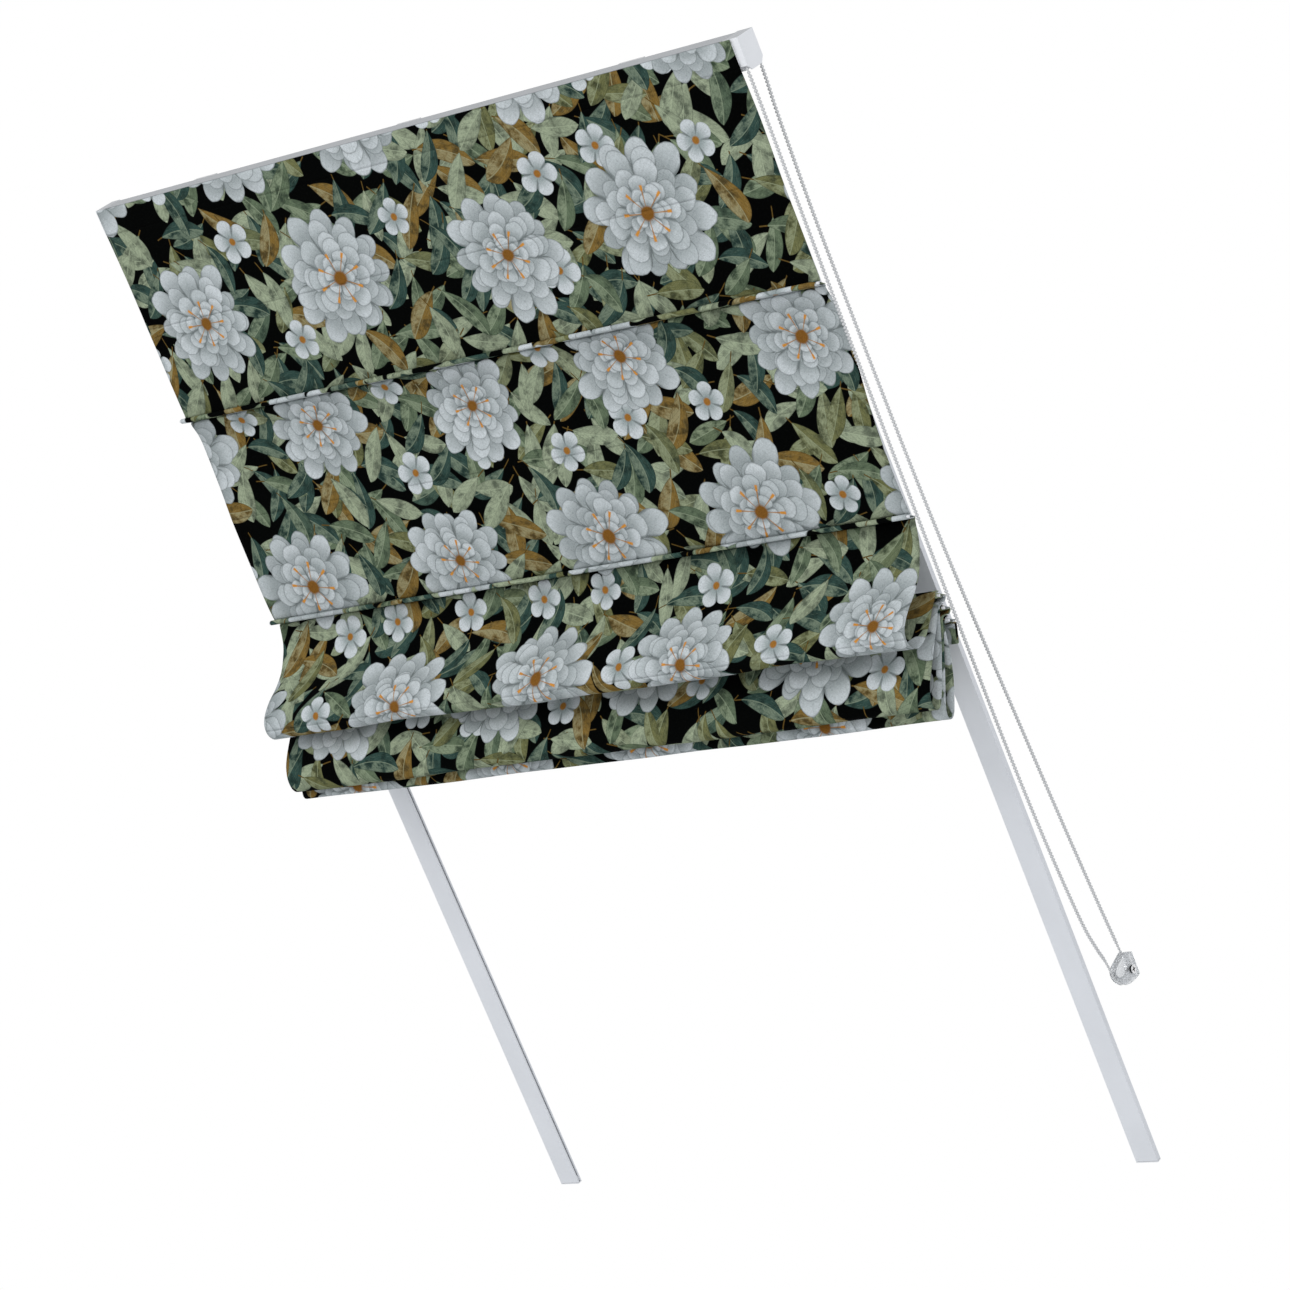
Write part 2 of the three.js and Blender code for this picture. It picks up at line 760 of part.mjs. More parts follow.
necks.forEach((neck, i) => {
  const pocket = alongX(pocketSection(), shadeLeft, shadeRight);
  const placed = addPart(blind, `rod_pocket_${i + 1}`, pocket, clothColour, 0.95);
  placed.rotation.x = pocketDroop;
  placed.position.set(0, neck.x, neck.y);
  const centre = rodCentre(neck);
  const rodLength = shadeWidth + 2 * rodOverhang;
  const rod = new THREE.CylinderGeometry(
    rodDiameter / 2, rodDiameter / 2, rodLength, roundSegments / 2,
  ).rotateZ(-Math.PI / 2);
  const middle = (shadeLeft + shadeRight) / 2;
  addPart(blind, `rod_${i + 1}`, rod, rodColour, 0.5).position.set(middle, centre.x, centre.y);
});

// Bottom bar in its hem, a flap that hangs behind the last rod
const hemLean = THREE.MathUtils.degToRad(hemLeanDegrees);
const hemThickness = bottomBarThickness + 2 * seatGap + 2 * clothThickness;
const lastNeck = necks[necks.length - 1];
const hemTop = new THREE.Vector2(lastNeck.x, lastNeck.y - neckHalfThickness - runningGap);

function roundedSection(width, thickness) {
  const radius = thickness / 2;
  const shape = new THREE.Shape();
  shape.absarc(0, -radius, radius, 0, Math.PI, false);
  shape.absarc(0, radius - width, radius, Math.PI, 2 * Math.PI, false);
  return shape;
}

function addHanging(name, shape, left, right, top, color, roughness) {
  const part = addPart(blind, name, alongX(shape, left, right), color, roughness);
  part.rotation.x = hemLean;
  part.position.set(0, top.x, top.y);
  return part;
}

const hemShape = roundedSection(hemWidth, hemThickness);
const barSpace = roundedSection(
  bottomBarWidth + 2 * seatGap, bottomBarThickness + 2 * seatGap,
).getPoints(roundSegments / 2).map((p) => p.sub(new THREE.Vector2(0, clothThickness)));
hemShape.holes.push(new THREE.Path(barSpace.reverse()));
addHanging('bottom_hem', hemShape, shadeLeft, shadeRight, hemTop, clothColour, 0.95);
const barTop = new THREE.Vector2(
  hemTop.x + (clothThickness + seatGap) * Math.sin(hemLean),
  hemTop.y - (clothThickness + seatGap) * Math.cos(hemLean),
);
addHanging(
  'bottom_bar', roundedSection(bottomBarWidth, bottomBarThickness),
  shadeLeft + rodOverhang, shadeRight - rodOverhang, barTop, white, 0.4,
);

for (let i = 0; i < necks.length; i += 1) {
  for (const [label, side] of [['left', -1], ['right', 1]]) {
    addPart(layout, `runner_${i + 1}_${label}`, runner(side, rodDrops[i]), white, 0.5);
  }
}

// Cloth panels. Each is drawn in two halves that meet at its fold line. The upper half is placed
// from the edge above and the lower half from the neck below, as Y and Z. The first and last
// points pass the rods' pockets, so they are shares of the pocket's depth. The others are shares
// of the rod spacing.
const firstPanelShares = {
  startShares: [],
  upperShares: [[0, 0], [0.1141, -0.1604], [0.1894, -0.2759], [0.25, -0.3728]],
  lowerShares: [[-0.1884, 0.2431], [-0.1341, 0.161], [-0.0747, 0.0729]],
  endShares: [[-0.5842, 0.3123], [-0.5005, 0.0926]],
};
const flatPanelShares = {
  startShares: [[0.0118, -0.0882], [0.0224, -0.2017]],
  upperShares: [[0.0587, -0.0648], [0.1254, -0.1622], [0.2012, -0.2869], [0.2638, -0.4062]],
  lowerShares: [[-0.2336, 0.3029], [-0.1616, 0.1852], [-0.1254, 0.1288], [-0.073, 0.055]],
  endShares: [[-0.6141, 0.2211], [-0.5005, 0.0926]],
};
const topLoopShares = {
  startShares: [[0.0118, -0.0882], [-0.0269, -0.2017]],
  upperShares: [[0.021, -0.0934], [0.0222, -0.1564], [0.012, -0.2292], [-0.018, -0.3028],
    [-0.0573, -0.369], [-0.0817, -0.4261], [-0.088, -0.4654], [-0.0802, -0.495]],
  lowerShares: [[-0.2586, -0.2296], [-0.2286, -0.2414], [-0.194, -0.2335], [-0.1598, -0.206],
    [-0.1322, -0.1599], [-0.1117, -0.1107], [-0.096, -0.0654]],
  endShares: [[-1.134, -0.3003], [-1.0758, -0.006], [-0.9174, 0.136], [-0.7052, 0.1584]],
};
const middleLoopShares = {
  startShares: [[0.0118, -0.0882], [-0.0344, -0.2181], [-0.1688, -0.372], [-0.5513, -0.5005],
    [-0.7934, -0.771]],
  upperShares: [[-0.0625, -0.1146], [-0.081, -0.1934], [-0.0952, -0.2603], [-0.1098, -0.3193],
    [-0.1196, -0.3666], [-0.1192, -0.4178], [-0.1019, -0.4552], [-0.0743, -0.467]],
  lowerShares: [[-0.0818, -0.4077], [-0.0716, -0.3644], [-0.0669, -0.266], [-0.0661, -0.1479],
    [-0.0724, -0.0691]],
  endShares: [[-1.1281, -0.4452], [-1.1221, -0.1688], [-0.9174, 0.136], [-0.7052, 0.1584]],
};
const lastLoopShares = {
  startShares: [[0.0118, -0.0882], [-0.0344, -0.2211], [-0.1644, -0.369], [-0.5573, -0.5035],
    [-0.7874, -0.768]],
  upperShares: [[-0.0511, -0.1006], [-0.0472, -0.1676], [-0.0464, -0.3054], [-0.0464, -0.392],
    [-0.0366, -0.4333], [-0.0149, -0.4471]],
  lowerShares: [[-0.0244, -0.3859], [-0.0165, -0.3426], [-0.0185, -0.2402], [-0.0362, -0.1418],
    [-0.0618, -0.0709]],
  endShares: [[-1.1056, -0.4706], [-1.1116, -0.1658], [-0.9174, 0.136], [-0.7052, 0.1584]],
};

function curvePoints(shares, from, unit) {
  return shares.map(([y, z]) => new THREE.Vector2(from.x + y * unit, from.y + z * unit));
}

// A closed section of even thickness about a line of points
function clothSection(line) {
  const sides = [1, -1].map((side) => line.map((point, i) => {
    const before = line[Math.max(i - 1, 0)];
    const after = line[Math.min(i + 1, line.length - 1)];
    const along = after.clone().sub(before).normalize();
    return new THREE.Vector2(
      point.x - side * along.y * clothThickness / 2,
      point.y + side * along.x * clothThickness / 2,
    );
  }));
  return new THREE.Shape([...sides[0], ...sides[1].reverse()]);
}

function addHalf(name, line) {
  const cloth = alongX(clothSection(line), shadeLeft, shadeRight);
  addPart(blind, name, cloth, clothColour, 0.95);
}

// The fold line is the upper half's last point, and the lower half starts a seat gap beyond it
function addPanel(index, shares, above, below) {
  const upper = curvePoints(shares.upperShares, above, rodSpacing);
  const fold = upper[upper.length - 1];
  const line = new THREE.SplineCurve([
    ...curvePoints(shares.startShares, above, pocketDepth),
    ...upper,
    ...curvePoints(shares.lowerShares, below, rodSpacing),
    ...curvePoints(shares.endShares, below, pocketDepth),
  ]).getSpacedPoints(panelSteps);
  const distances = line.map((point) => point.distanceTo(fold));
  const split = distances.indexOf(Math.min(...distances));
  const onward = line.slice(split);
  onward[0] = onward[0].clone().add(onward[1].clone().sub(onward[0]).setLength(seatGap));
  addHalf(`panel_${index}_upper`, line.slice(0, split + 1));
  addHalf(`panel_${index}_lower`, onward);
}

const headingEnd = roomPoint(headingDepth, headingCentre);
const panelStarts = [headingEnd, ...necks];
[
  firstPanelShares,
  flatPanelShares,
  topLoopShares,
  middleLoopShares,
  lastLoopShares,
].forEach((shares, i) => addPanel(i + 1, shares, panelStarts[i], necks[i]));

export default blind;
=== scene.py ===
"""A roman blind that hangs on a slope: printed cloth, cross rods, rails and a bead chain.

Everything is in metres in the frame of the CAD model: +X runs right along the headrail, +Z is
up and -Y faces the room. A drop is a distance down the slope from the headrail's top edge, and a
standoff is a distance out from the slope towards the room.
"""

import json
import math

import bpy
import numpy as np
from bpy.props import FloatProperty, FloatVectorProperty, PointerProperty
from mathutils import Matrix, Vector


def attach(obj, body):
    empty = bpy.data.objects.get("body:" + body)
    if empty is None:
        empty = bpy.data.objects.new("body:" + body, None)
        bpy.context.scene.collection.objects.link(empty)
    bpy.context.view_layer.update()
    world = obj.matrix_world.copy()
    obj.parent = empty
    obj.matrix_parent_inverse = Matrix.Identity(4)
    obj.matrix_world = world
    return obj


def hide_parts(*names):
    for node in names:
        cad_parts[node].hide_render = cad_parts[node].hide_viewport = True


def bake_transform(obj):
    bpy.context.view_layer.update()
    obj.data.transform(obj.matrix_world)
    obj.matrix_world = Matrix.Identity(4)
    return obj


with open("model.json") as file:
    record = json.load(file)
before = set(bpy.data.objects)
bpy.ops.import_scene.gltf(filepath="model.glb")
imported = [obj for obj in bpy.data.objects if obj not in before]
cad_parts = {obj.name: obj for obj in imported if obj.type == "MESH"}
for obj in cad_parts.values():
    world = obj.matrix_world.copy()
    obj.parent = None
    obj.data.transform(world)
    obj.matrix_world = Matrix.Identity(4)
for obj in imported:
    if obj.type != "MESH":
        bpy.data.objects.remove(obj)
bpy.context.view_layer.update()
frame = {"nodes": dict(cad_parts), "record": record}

bl_info = {
    "name": "Sloping roman blind",
    "version": (1, 0, 0),
    "blender": (4, 5, 0),
    "location": "3D View > Sidebar > Blind",
    "description": "Builds the cloth, chain, finishes and studio of a sloping roman blind",
    "category": "Object",
}

# The slope's angle from level, and the drop at which the frame's origin lies
PITCH = math.radians(55.6)
ORIGIN_DROP = 0.0175
# The necks, which are the seams where each rod's pocket leaves the cloth
NECK_STANDOFF = 0.028
NECK_DROPS = (0.258, 0.512, 0.600, 0.614, 0.628)
# The X of the headrail's left end, and from bead to bead along the chain
HEADRAIL_LEFT = -0.45
BEAD_PITCH = 0.0038
# Steps between two points of a spline, before it is divided evenly
SPLINE_STEPS = 24


def size(name, description, default):
    """A length in metres that a user may change."""
    return FloatProperty(name=name, description=description, default=default, unit="LENGTH",
                         precision=4, min=0.0)


def shade_of(name, description, default):
    """A colour that a user may change."""
    return FloatVectorProperty(name=name, description=description, default=default,
                               subtype="COLOR", size=3, min=0.0, max=1.0)


class BlindSizes(bpy.types.PropertyGroup):
    """Sizes of the cloth and the chain."""

    shade_width: size("Shade width", "Width of the cloth", 0.889)
    shade_inset: size("Shade inset", "From the headrail's left end to the cloth", 0.0026)
    rod_spacing: size("Rod spacing", "Cloth between two rods", 0.254)
    cloth: size("Cloth thickness", "Thickness of the woven cloth", 0.0008)
    column: size("Column width", "Width of one column of the cloth's mesh", 0.006)
    row: size("Row height", "Height of one row of the cloth's mesh", 0.003)
    pocket: size("Pocket depth", "From a pocket's seam to its tip", 0.017)
    rod: size("Rod diameter", "Diameter of a cross rod", 0.0032)
    hem: size("Hem width", "Depth of the weighted hem", 0.022)
    hem_thickness: size("Hem thickness", "Thickness of the hem over its bar", 0.0048)
    bead: size("Bead diameter", "Diameter of one bead of the chain", 0.0043)
    bead_length: size("Bead length", "Length of one bead along the chain", 0.0036)
    bead_guided: size("Guided bead", "Diameter of a bead on the wheel or the tensioner", 0.0031)
    bead_pitch: size("Bead pitch", "Distance between beads of the chain", BEAD_PITCH)
    thread: size("Thread diameter", "Diameter of the cord between beads", 0.0014)
    ripple: size("Ripple", "How far the cloth waves out of its line", 0.0016)
    sway: size("Sway", "How far the left ends of the lower folds swing out", 0.0095)


class BlindColours(bpy.types.PropertyGroup):
    """Colours of the finishes."""

    ground: shade_of("Ground", "Ground of the print", (0.0004, 0.0006, 0.0005))
    sage: shade_of("Sage", "Pale leaves", (0.300, 0.348, 0.236))
    moss: shade_of("Moss", "Mid green leaves", (0.126, 0.172, 0.104))
    teal: shade_of("Teal", "Dark leaves", (0.036, 0.074, 0.062))
    olive: shade_of("Olive", "Olive leaves", (0.165, 0.170, 0.070))
    ochre: shade_of("Ochre", "Autumn leaves", (0.225, 0.138, 0.034))
    petal: shade_of("Petal", "Petals", (0.600, 0.640, 0.655))
    petal_shade: shade_of("Petal shade", "Shaded parts of petals", (0.285, 0.335, 0.330))
    stamen: shade_of("Stamen", "Flower centres", (0.480, 0.210, 0.040))
    white: shade_of("White", "Moulded and painted parts", (0.780, 0.790, 0.810))
    # The headrail's grey is partly its paint and partly painted shade: it is darkened to stand for
    # the shade on its top face
    headrail: shade_of("Headrail", "Painted headrail", (0.270, 0.282, 0.296))
    rails: shade_of("Rails", "Painted side rails", (0.715, 0.730, 0.760))
    zinc: shade_of("Zinc", "Clips and shaft", (0.520, 0.530, 0.540))
    screw: shade_of("Screw", "Bright screw", (0.780, 0.780, 0.790))
    bead: shade_of("Bead", "Bead chain", (0.560, 0.565, 0.570))
    tensioner: shade_of("Tensioner", "Clear plastic of the tensioner", (0.730, 0.745, 0.760))


def room(drop, standoff):
    """The Y and Z of a place on the slope: down along it, then out square to it."""
    down = np.asarray(drop, float) - ORIGIN_DROP
    out = np.asarray(standoff, float)
    y = down * math.cos(PITCH) - out * math.sin(PITCH)
    z = -down * math.sin(PITCH) - out * math.cos(PITCH)
    return np.stack([y, z], -1)


def turned(points, angle):
    """Places in Y and Z turned about the origin."""
    cos, sin = math.cos(angle), math.sin(angle)
    y, z = points[..., 0], points[..., 1]
    return np.stack([y * cos - z * sin, y * sin + z * cos], -1)


def lengths_along(line):
    """The distance of each point of a line from its first, measured along it."""
    return np.concatenate([[0], np.cumsum(np.linalg.norm(np.diff(line, axis=0), axis=1))])


def directions(loop):
    """The way that a closed line runs at each of its points."""
    along = np.roll(loop, -1, 0) - np.roll(loop, 1, 0)
    return along / np.linalg.norm(along, axis=1)[:, None]


def evenly(points, step, closed=False):
    """A smooth line through points at even steps, and each new point's distance along it.

    Between two points it is the uniform Catmull-Rom cubic on its four neighbours.
    """
    points = np.asarray(points, float)
    if closed:
        padded = np.concatenate([points[-1:], points, points[:2]])
    else:
        padded = np.concatenate([points[:1], points, points[-1:]])
    p0, p1, p2, p3 = padded[:-3], padded[1:-2], padded[2:-1], padded[3:]
    t = np.linspace(0, 1, SPLINE_STEPS, endpoint=False)[:, None, None]
    curve = 0.5 * (2 * p1 + (p2 - p0) * t + (2 * p0 - 5 * p1 + 4 * p2 - p3) * t ** 2
                   + (3 * p1 - p0 - 3 * p2 + p3) * t ** 3)
    curve = curve.transpose(1, 0, 2).reshape(-1, points.shape[1])
    curve = np.concatenate([curve, points[:1] if closed else points[-1:]])
    lengths = lengths_along(curve)
    places = np.linspace(0, lengths[-1], max(2, int(round(lengths[-1] / step)) + 1))
    return np.stack([np.interp(places, lengths, axis) for axis in curve.T], -1), places


def new_object(name, vertices, faces, uv=None, material=None, smooth=True):
    """A mesh object from vertices and a list of faces, with one UV place for each vertex."""
    mesh = bpy.data.meshes.new(name)
    mesh.from_pydata(np.asarray(vertices).tolist(), [], faces)
    if uv is not None:
        corner = np.empty(len(mesh.loops), int)
        mesh.loops.foreach_get("vertex_index", corner)
        mesh.uv_layers.new(name="Cloth").data.foreach_set("uv", np.asarray(uv)[corner].ravel())
    mesh.polygons.foreach_set("use_smooth", np.full(len(mesh.polygons), smooth))
    if material is not None:
        mesh.materials.append(material)
    piece = bpy.data.objects.new(name, mesh)
    bpy.context.scene.collection.objects.link(piece)
    return piece


def grid_faces(rows, columns, start, flip=False):
    """The quads of a grid of vertices stored row by row."""
    i, j = np.meshgrid(np.arange(rows - 1), np.arange(columns - 1), indexing="ij")
    a = start + i * columns + j
    quads = np.stack([a, a + 1, a + columns + 1, a + columns], -1).reshape(-1, 4)
    return quads[:, ::-1] if flip else quads


# Cloth

OVER_POCKET = (-0.0335, 0.0062)
UNDER_NECK = (0.0006, -0.0030)
ROUND_POCKET = ((-0.0614, 0.0091), (-0.0472, 0.0106))

# Each panel's line: shares of the rod spacing from the edge above, then from the neck below.
# The fold line is the last point of the first list.
FIRST_PANEL = (
    ((0, 0), (0.1141, -0.1604), (0.1894, -0.2759), (0.25, -0.3728)),
    ((-0.1884, 0.2431), (-0.1341, 0.161), (-0.0747, 0.0729), (-0.0391, 0.0209), OVER_POCKET),
)
FLAT_PANEL = (
    (UNDER_NECK, (0.0015, -0.0135), (0.0587, -0.0648), (0.1254, -0.1622), (0.2012, -0.2869),
     (0.2638, -0.4062)),
    ((-0.2336, 0.3029), (-0.1616, 0.1852), (-0.1254, 0.1288), (-0.073, 0.055),
     (-0.0411, 0.0148), OVER_POCKET),
)
TOP_LOOP = (
    (UNDER_NECK, (-0.0018, -0.0135), (0.021, -0.0934), (0.0222, -0.1564), (0.012, -0.2292),
     (-0.018, -0.3028), (-0.0573, -0.369), (-0.0817, -0.4261), (-0.088, -0.4654),
     (-0.0802, -0.495)),
    ((-0.2586, -0.2296), (-0.2286, -0.2414), (-0.194, -0.2335), (-0.1598, -0.206),
     (-0.1322, -0.1599), (-0.1117, -0.1107), (-0.096, -0.0654), (-0.0759, -0.0201),
     (-0.072, -0.0004), *ROUND_POCKET),
)
MIDDLE_LOOP = (
    (UNDER_NECK, (-0.0023, -0.0146), (-0.0113, -0.0249), (-0.0369, -0.0335), (-0.0531, -0.0516),
     (-0.0625, -0.1146), (-0.081, -0.1934), (-0.0952, -0.2603), (-0.1098, -0.3193),
     (-0.1196, -0.3666), (-0.1192, -0.4178), (-0.1019, -0.4552), (-0.0743, -0.467)),
    ((-0.0818, -0.4077), (-0.0716, -0.3644), (-0.0669, -0.266), (-0.0661, -0.1479),
     (-0.0724, -0.0691), (-0.0755, -0.0298), (-0.0751, -0.0113), *ROUND_POCKET),
)
LAST_LOOP = (
    (UNDER_NECK, (-0.0023, -0.0148), (-0.011, -0.0247), (-0.0373, -0.0337), (-0.0527, -0.0514),
     (-0.0511, -0.1006), (-0.0472, -0.1676), (-0.0464, -0.3054), (-0.0464, -0.392),
     (-0.0366, -0.4333), (-0.0149, -0.4471)),
    ((-0.0244, -0.3859), (-0.0165, -0.3426), (-0.0185, -0.2402), (-0.0362, -0.1418),
     (-0.0618, -0.0709), (-0.074, -0.0315), (-0.0744, -0.0111), *ROUND_POCKET),
)
PANELS = (FIRST_PANEL, FLAT_PANEL, TOP_LOOP, MIDDLE_LOOP, LAST_LOOP)

# The heading, which is the cloth on its tape
HEADING_TOP = 0.0002
HEADING_DROP = 0.030
HEADING_STANDOFF = 0.0309
HEADING_POINTS = 10

# A pocket's section: its droop, its slack round the rod, half its root in thicknesses of cloth,
# and the points of each side and of the tip
POCKET_DROOP = math.radians(8.5)
POCKET_SLACK = 0.0003
POCKET_ROOT = 0.62
POCKET_SIDE_POINTS = 5
POCKET_TIP_POINTS = 15
# The hem's section: its lean, how far under the last neck it hangs, and the points of each side
# and of each turn; then where in the print it starts
HEM_LEAN = math.radians(10)
HEM_BELOW_NECK = 0.0013
HEM_SIDE_POINTS = 6
HEM_TURN_POINTS = 9
HEM_PRINT_START = 1.45

# Shares of the sway halfway down each panel and at its fold, and of the ripple
SWAY_SHARES = ((0.0, 0.0), (0.0, 0.0), (0.0, 0.0), (1.0, 0.2), (0.0, 1.0))
RIPPLE_SHARES = (1.0, 1.0, 0.8, 0.45, 0.3)
# For each half of each panel: the degrees by which its bend leans from the line between its
# ends, and the share of its reach that way by which it moves wholly with the body below
PLAIN_BEND = ((0, 1.0), (0, 1.0))
BENDS = (((-20, 0.5), (-35, 1.0)), ((42, 0.38), (65, 1.0)), PLAIN_BEND, PLAIN_BEND, PLAIN_BEND)


def ripple(x, v, share, amount):
    """How far cloth stands out of its line at a place across and along it.

    It is a sum of slow sine waves across the width, swelling from nothing at the rods to the
    full amount halfway between them.
    """
    swell = np.sin(np.pi * np.clip(share, 0, 1)) ** 1.3
    waves = (np.sin(11.3 * x + 2.1 * v * 9) + 0.6 * np.sin(23.7 * x - 5.0 * v + 1.3)
             + 0.35 * np.sin(47.1 * x + 14.0 * v + 0.4))
    return amount * swell * waves


def sway(x, z, top, bottom, shares, reach):
    """How far a fold swings out at a place: nothing right of the middle, the most at the left end.

    The first share is of a sine that swells halfway from the top to the bottom, and the second
    of a straight line that ends at the bottom.
    """
    fall = np.clip((top - z) / (top - bottom), 0, 1)
    swing = shares[0] * np.sin(np.pi * fall) + shares[1] * fall
    return -reach * swing * np.clip(x / HEADRAIL_LEFT, 0, 1)


def column_places(sizes):
    """The X of each column of the cloth's mesh."""
    left = HEADRAIL_LEFT + sizes.shade_inset
    count = int(round(sizes.shade_width / sizes.column)) + 1
    return np.linspace(left, left + sizes.shade_width, count)


def strip(name, line, v, sizes, out=0.0, swing=0.0):
    """A strip of cloth: a line in Y and Z carried across the width and given its thickness.

    Each point moves along the line's normal by the ripple there, plus or minus half the
    thickness, which makes two faces that meet round the four edges. The swing moves it along Y.
    """
    along = np.gradient(line, axis=0)
    along /= np.linalg.norm(along, axis=1)[:, None]
    normal = np.stack([along[:, 1], -along[:, 0]], -1)
    x = column_places(sizes)
    shape = (len(line), len(x))
    sides = []
    for side in (0.5, -0.5):
        away = out + side * sizes.cloth
        y = line[:, :1] + normal[:, :1] * away + swing
        z = line[:, 1:] + normal[:, 1:] * away
        sides.append(np.stack([np.broadcast_to(axis, shape) for axis in (x, y, z)], -1))
    count = len(line) * len(x)
    grid = np.arange(count).reshape(shape)
    rim = np.concatenate([grid[0], grid[1:, -1], grid[-1, -2::-1], grid[-2:0:-1, 0]])
    beyond = np.roll(rim, -1)
    faces = np.concatenate([
        grid_faces(*shape, 0, flip=True),
        grid_faces(*shape, count),
        np.stack([rim, beyond, beyond + count, rim + count], -1),
    ])
    flat = np.stack(np.broadcast_arrays(x - x[0], -v[:, None]), -1).reshape(-1, 2)
    cloth = bpy.data.materials.get("Printed cotton") or printed_cotton()
    return new_object(name, np.concatenate(sides).reshape(-1, 3), faces.tolist(),
                      np.tile(flat, (2, 1)), cloth)


def pocket_line(neck, sizes):
    """A tuck round a rod: out along its upper side, round the tip and back underneath."""
    radius = sizes.rod / 2 + POCKET_SLACK + sizes.cloth / 2
    reach = sizes.pocket - radius - sizes.cloth / 2
    root = sizes.cloth * POCKET_ROOT
    turn = math.asin((radius - root) / reach)
    angles = np.linspace(math.pi / 2 - turn, turn - math.pi / 2, POCKET_TIP_POINTS)
    tip = np.stack([reach + radius * np.cos(angles), radius * np.sin(angles)], -1)
    outward = np.concatenate([np.linspace([0, root], tip[0], POCKET_SIDE_POINTS)[:-1], tip,
                              np.linspace(tip[-1], [0, -root], POCKET_SIDE_POINTS)[1:]])
    return neck + turned(outward * [-1, 1], POCKET_DROOP)


def hem_line(neck, sizes):
    """The hem's section: down its front, round the bottom edge, up its back and over the top."""
    half = (sizes.hem_thickness - sizes.cloth) / 2
    low = half - (sizes.hem - sizes.cloth / 2)
    turn = np.linspace(0, math.pi, HEM_TURN_POINTS)
    arc = half * np.stack([np.cos(turn), np.sin(turn)], -1)
    top = arc + [0, -half]
    bottom = -arc + [0, low]
    outline = np.concatenate([np.linspace(top[-1], bottom[0], HEM_SIDE_POINTS)[:-1], bottom,
                              np.linspace(bottom[-1], top[0], HEM_SIDE_POINTS)[1:], top[1:-1]])
    return neck + turned(outline - [0, sizes.cloth / 2], HEM_LEAN)


def panel_line(index, above, below, sizes):
    """A panel's line from the edge above to the neck below, its lengths and its fold's row."""
    upper, lower = PANELS[index]
    knots = np.concatenate([above + np.array(upper) * sizes.rod_spacing,
                            below + np.array(lower) * sizes.rod_spacing])
    line, places = evenly(knots, sizes.row)
    fold = int(np.argmin(np.linalg.norm(line - knots[len(upper) - 1], axis=1)))
    return line, places, fold


def bend_span(part, lean, share):
    """The places where a half starts to leave the body above and where it has wholly left."""
    chord = part[-1] - part[0]
    along = turned(chord, math.radians(lean))
    along /= np.linalg.norm(along)
    return (0.0, *part[0]), (0.0, *(part[0] + along * (chord @ along) * share))


class BLIND_OT_cloth(bpy.types.Operator):
    """Hang the printed cloth from the headrail and the rods, in its panels and pockets"""

    bl_idname = "blind.cloth"
    bl_label = "Hang the cloth"

    def execute(self, context):
        sizes = context.scene.blind_sizes
        x = column_places(sizes)
        necks = room(NECK_DROPS, NECK_STANDOFF)
        heading = room(np.linspace(HEADING_TOP, HEADING_DROP, HEADING_POINTS), HEADING_STANDOFF)
        v = np.linspace(0, HEADING_DROP, HEADING_POINTS)
        piece = strip("cloth_heading", heading, v, sizes)
        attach(piece, "frame")
        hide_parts("shade_heading")
        run = HEADING_DROP
        for index, below in enumerate(necks):
            above = necks[index - 1] if index else heading[-1]
            line, places, fold = panel_line(index, above, below, sizes)
            out = ripple(x, (run + places)[:, None], (places / places[-1])[:, None],
                         sizes.ripple * RIPPLE_SHARES[index])
            swing = sway(x, line[:, 1:], below[1], line[:, 1].min(), SWAY_SHARES[index],
                         sizes.sway)
            bodies = (f"rod_set_{index}" if index else "frame", f"panel_{index + 1}",
                      f"rod_set_{index + 1}")
            halves = (("upper", slice(0, fold + 1), bodies[:2]),
                      ("lower", slice(fold, None), bodies[1:]))
            for (half, rows, pair), bend in zip(halves, BENDS[index]):
                part, at = line[rows], places[rows]
                piece = strip(f"cloth_{index + 1}_{half}", part, run + at, sizes, out[rows],
                              swing[rows])
                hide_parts(f"panel_{index + 1}_{half}")
                at[-1] - at[0]
                start, end = bend_span(part, *bend)
                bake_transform(piece)
            pocket = pocket_line(below, sizes)
            v = run + places[-1] + lengths_along(pocket)
            piece = strip(f"cloth_pocket_{index + 1}", pocket, v, sizes)
            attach(piece, f"rod_set_{index + 1}")
            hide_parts(f"rod_pocket_{index + 1}")
            v[-1] - v[0]
            run = v[-1]
        return {"FINISHED"}


class BLIND_OT_hem(bpy.types.Operator):
    """Sew the weighted hem behind the last rod"""

    bl_idname = "blind.hem"
    bl_label = "Sew the hem"

    def execute(self, context):
        sizes = context.scene.blind_sizes
        line = hem_line(room(NECK_DROPS[-1], NECK_STANDOFF) - [0, HEM_BELOW_NECK], sizes)
        v = HEM_PRINT_START + lengths_along(line)
        piece = strip("cloth_hem", line, v, sizes)
        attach(piece, "rod_set_5")
        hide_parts("bottom_hem")
        return {"FINISHED"}


# Chain

# Two turns: each one's X, drop, standoff and radius. The wheel's is that of its ring of pockets.
WHEEL_POCKETS = 20
WHEEL = (0.4464, 0.0175, 0.0147, WHEEL_POCKETS * BEAD_PITCH / (2 * math.pi))
IDLER = (0.4748, 1.033, 0.0267, 0.0145)
TURN_POINTS = 11
# How far from an axle the beads start to widen, and where they have their full width
GUIDE_END = (0.020, 0.026)
ROUTE_STEP = 0.001
THREAD_SIDES = 6
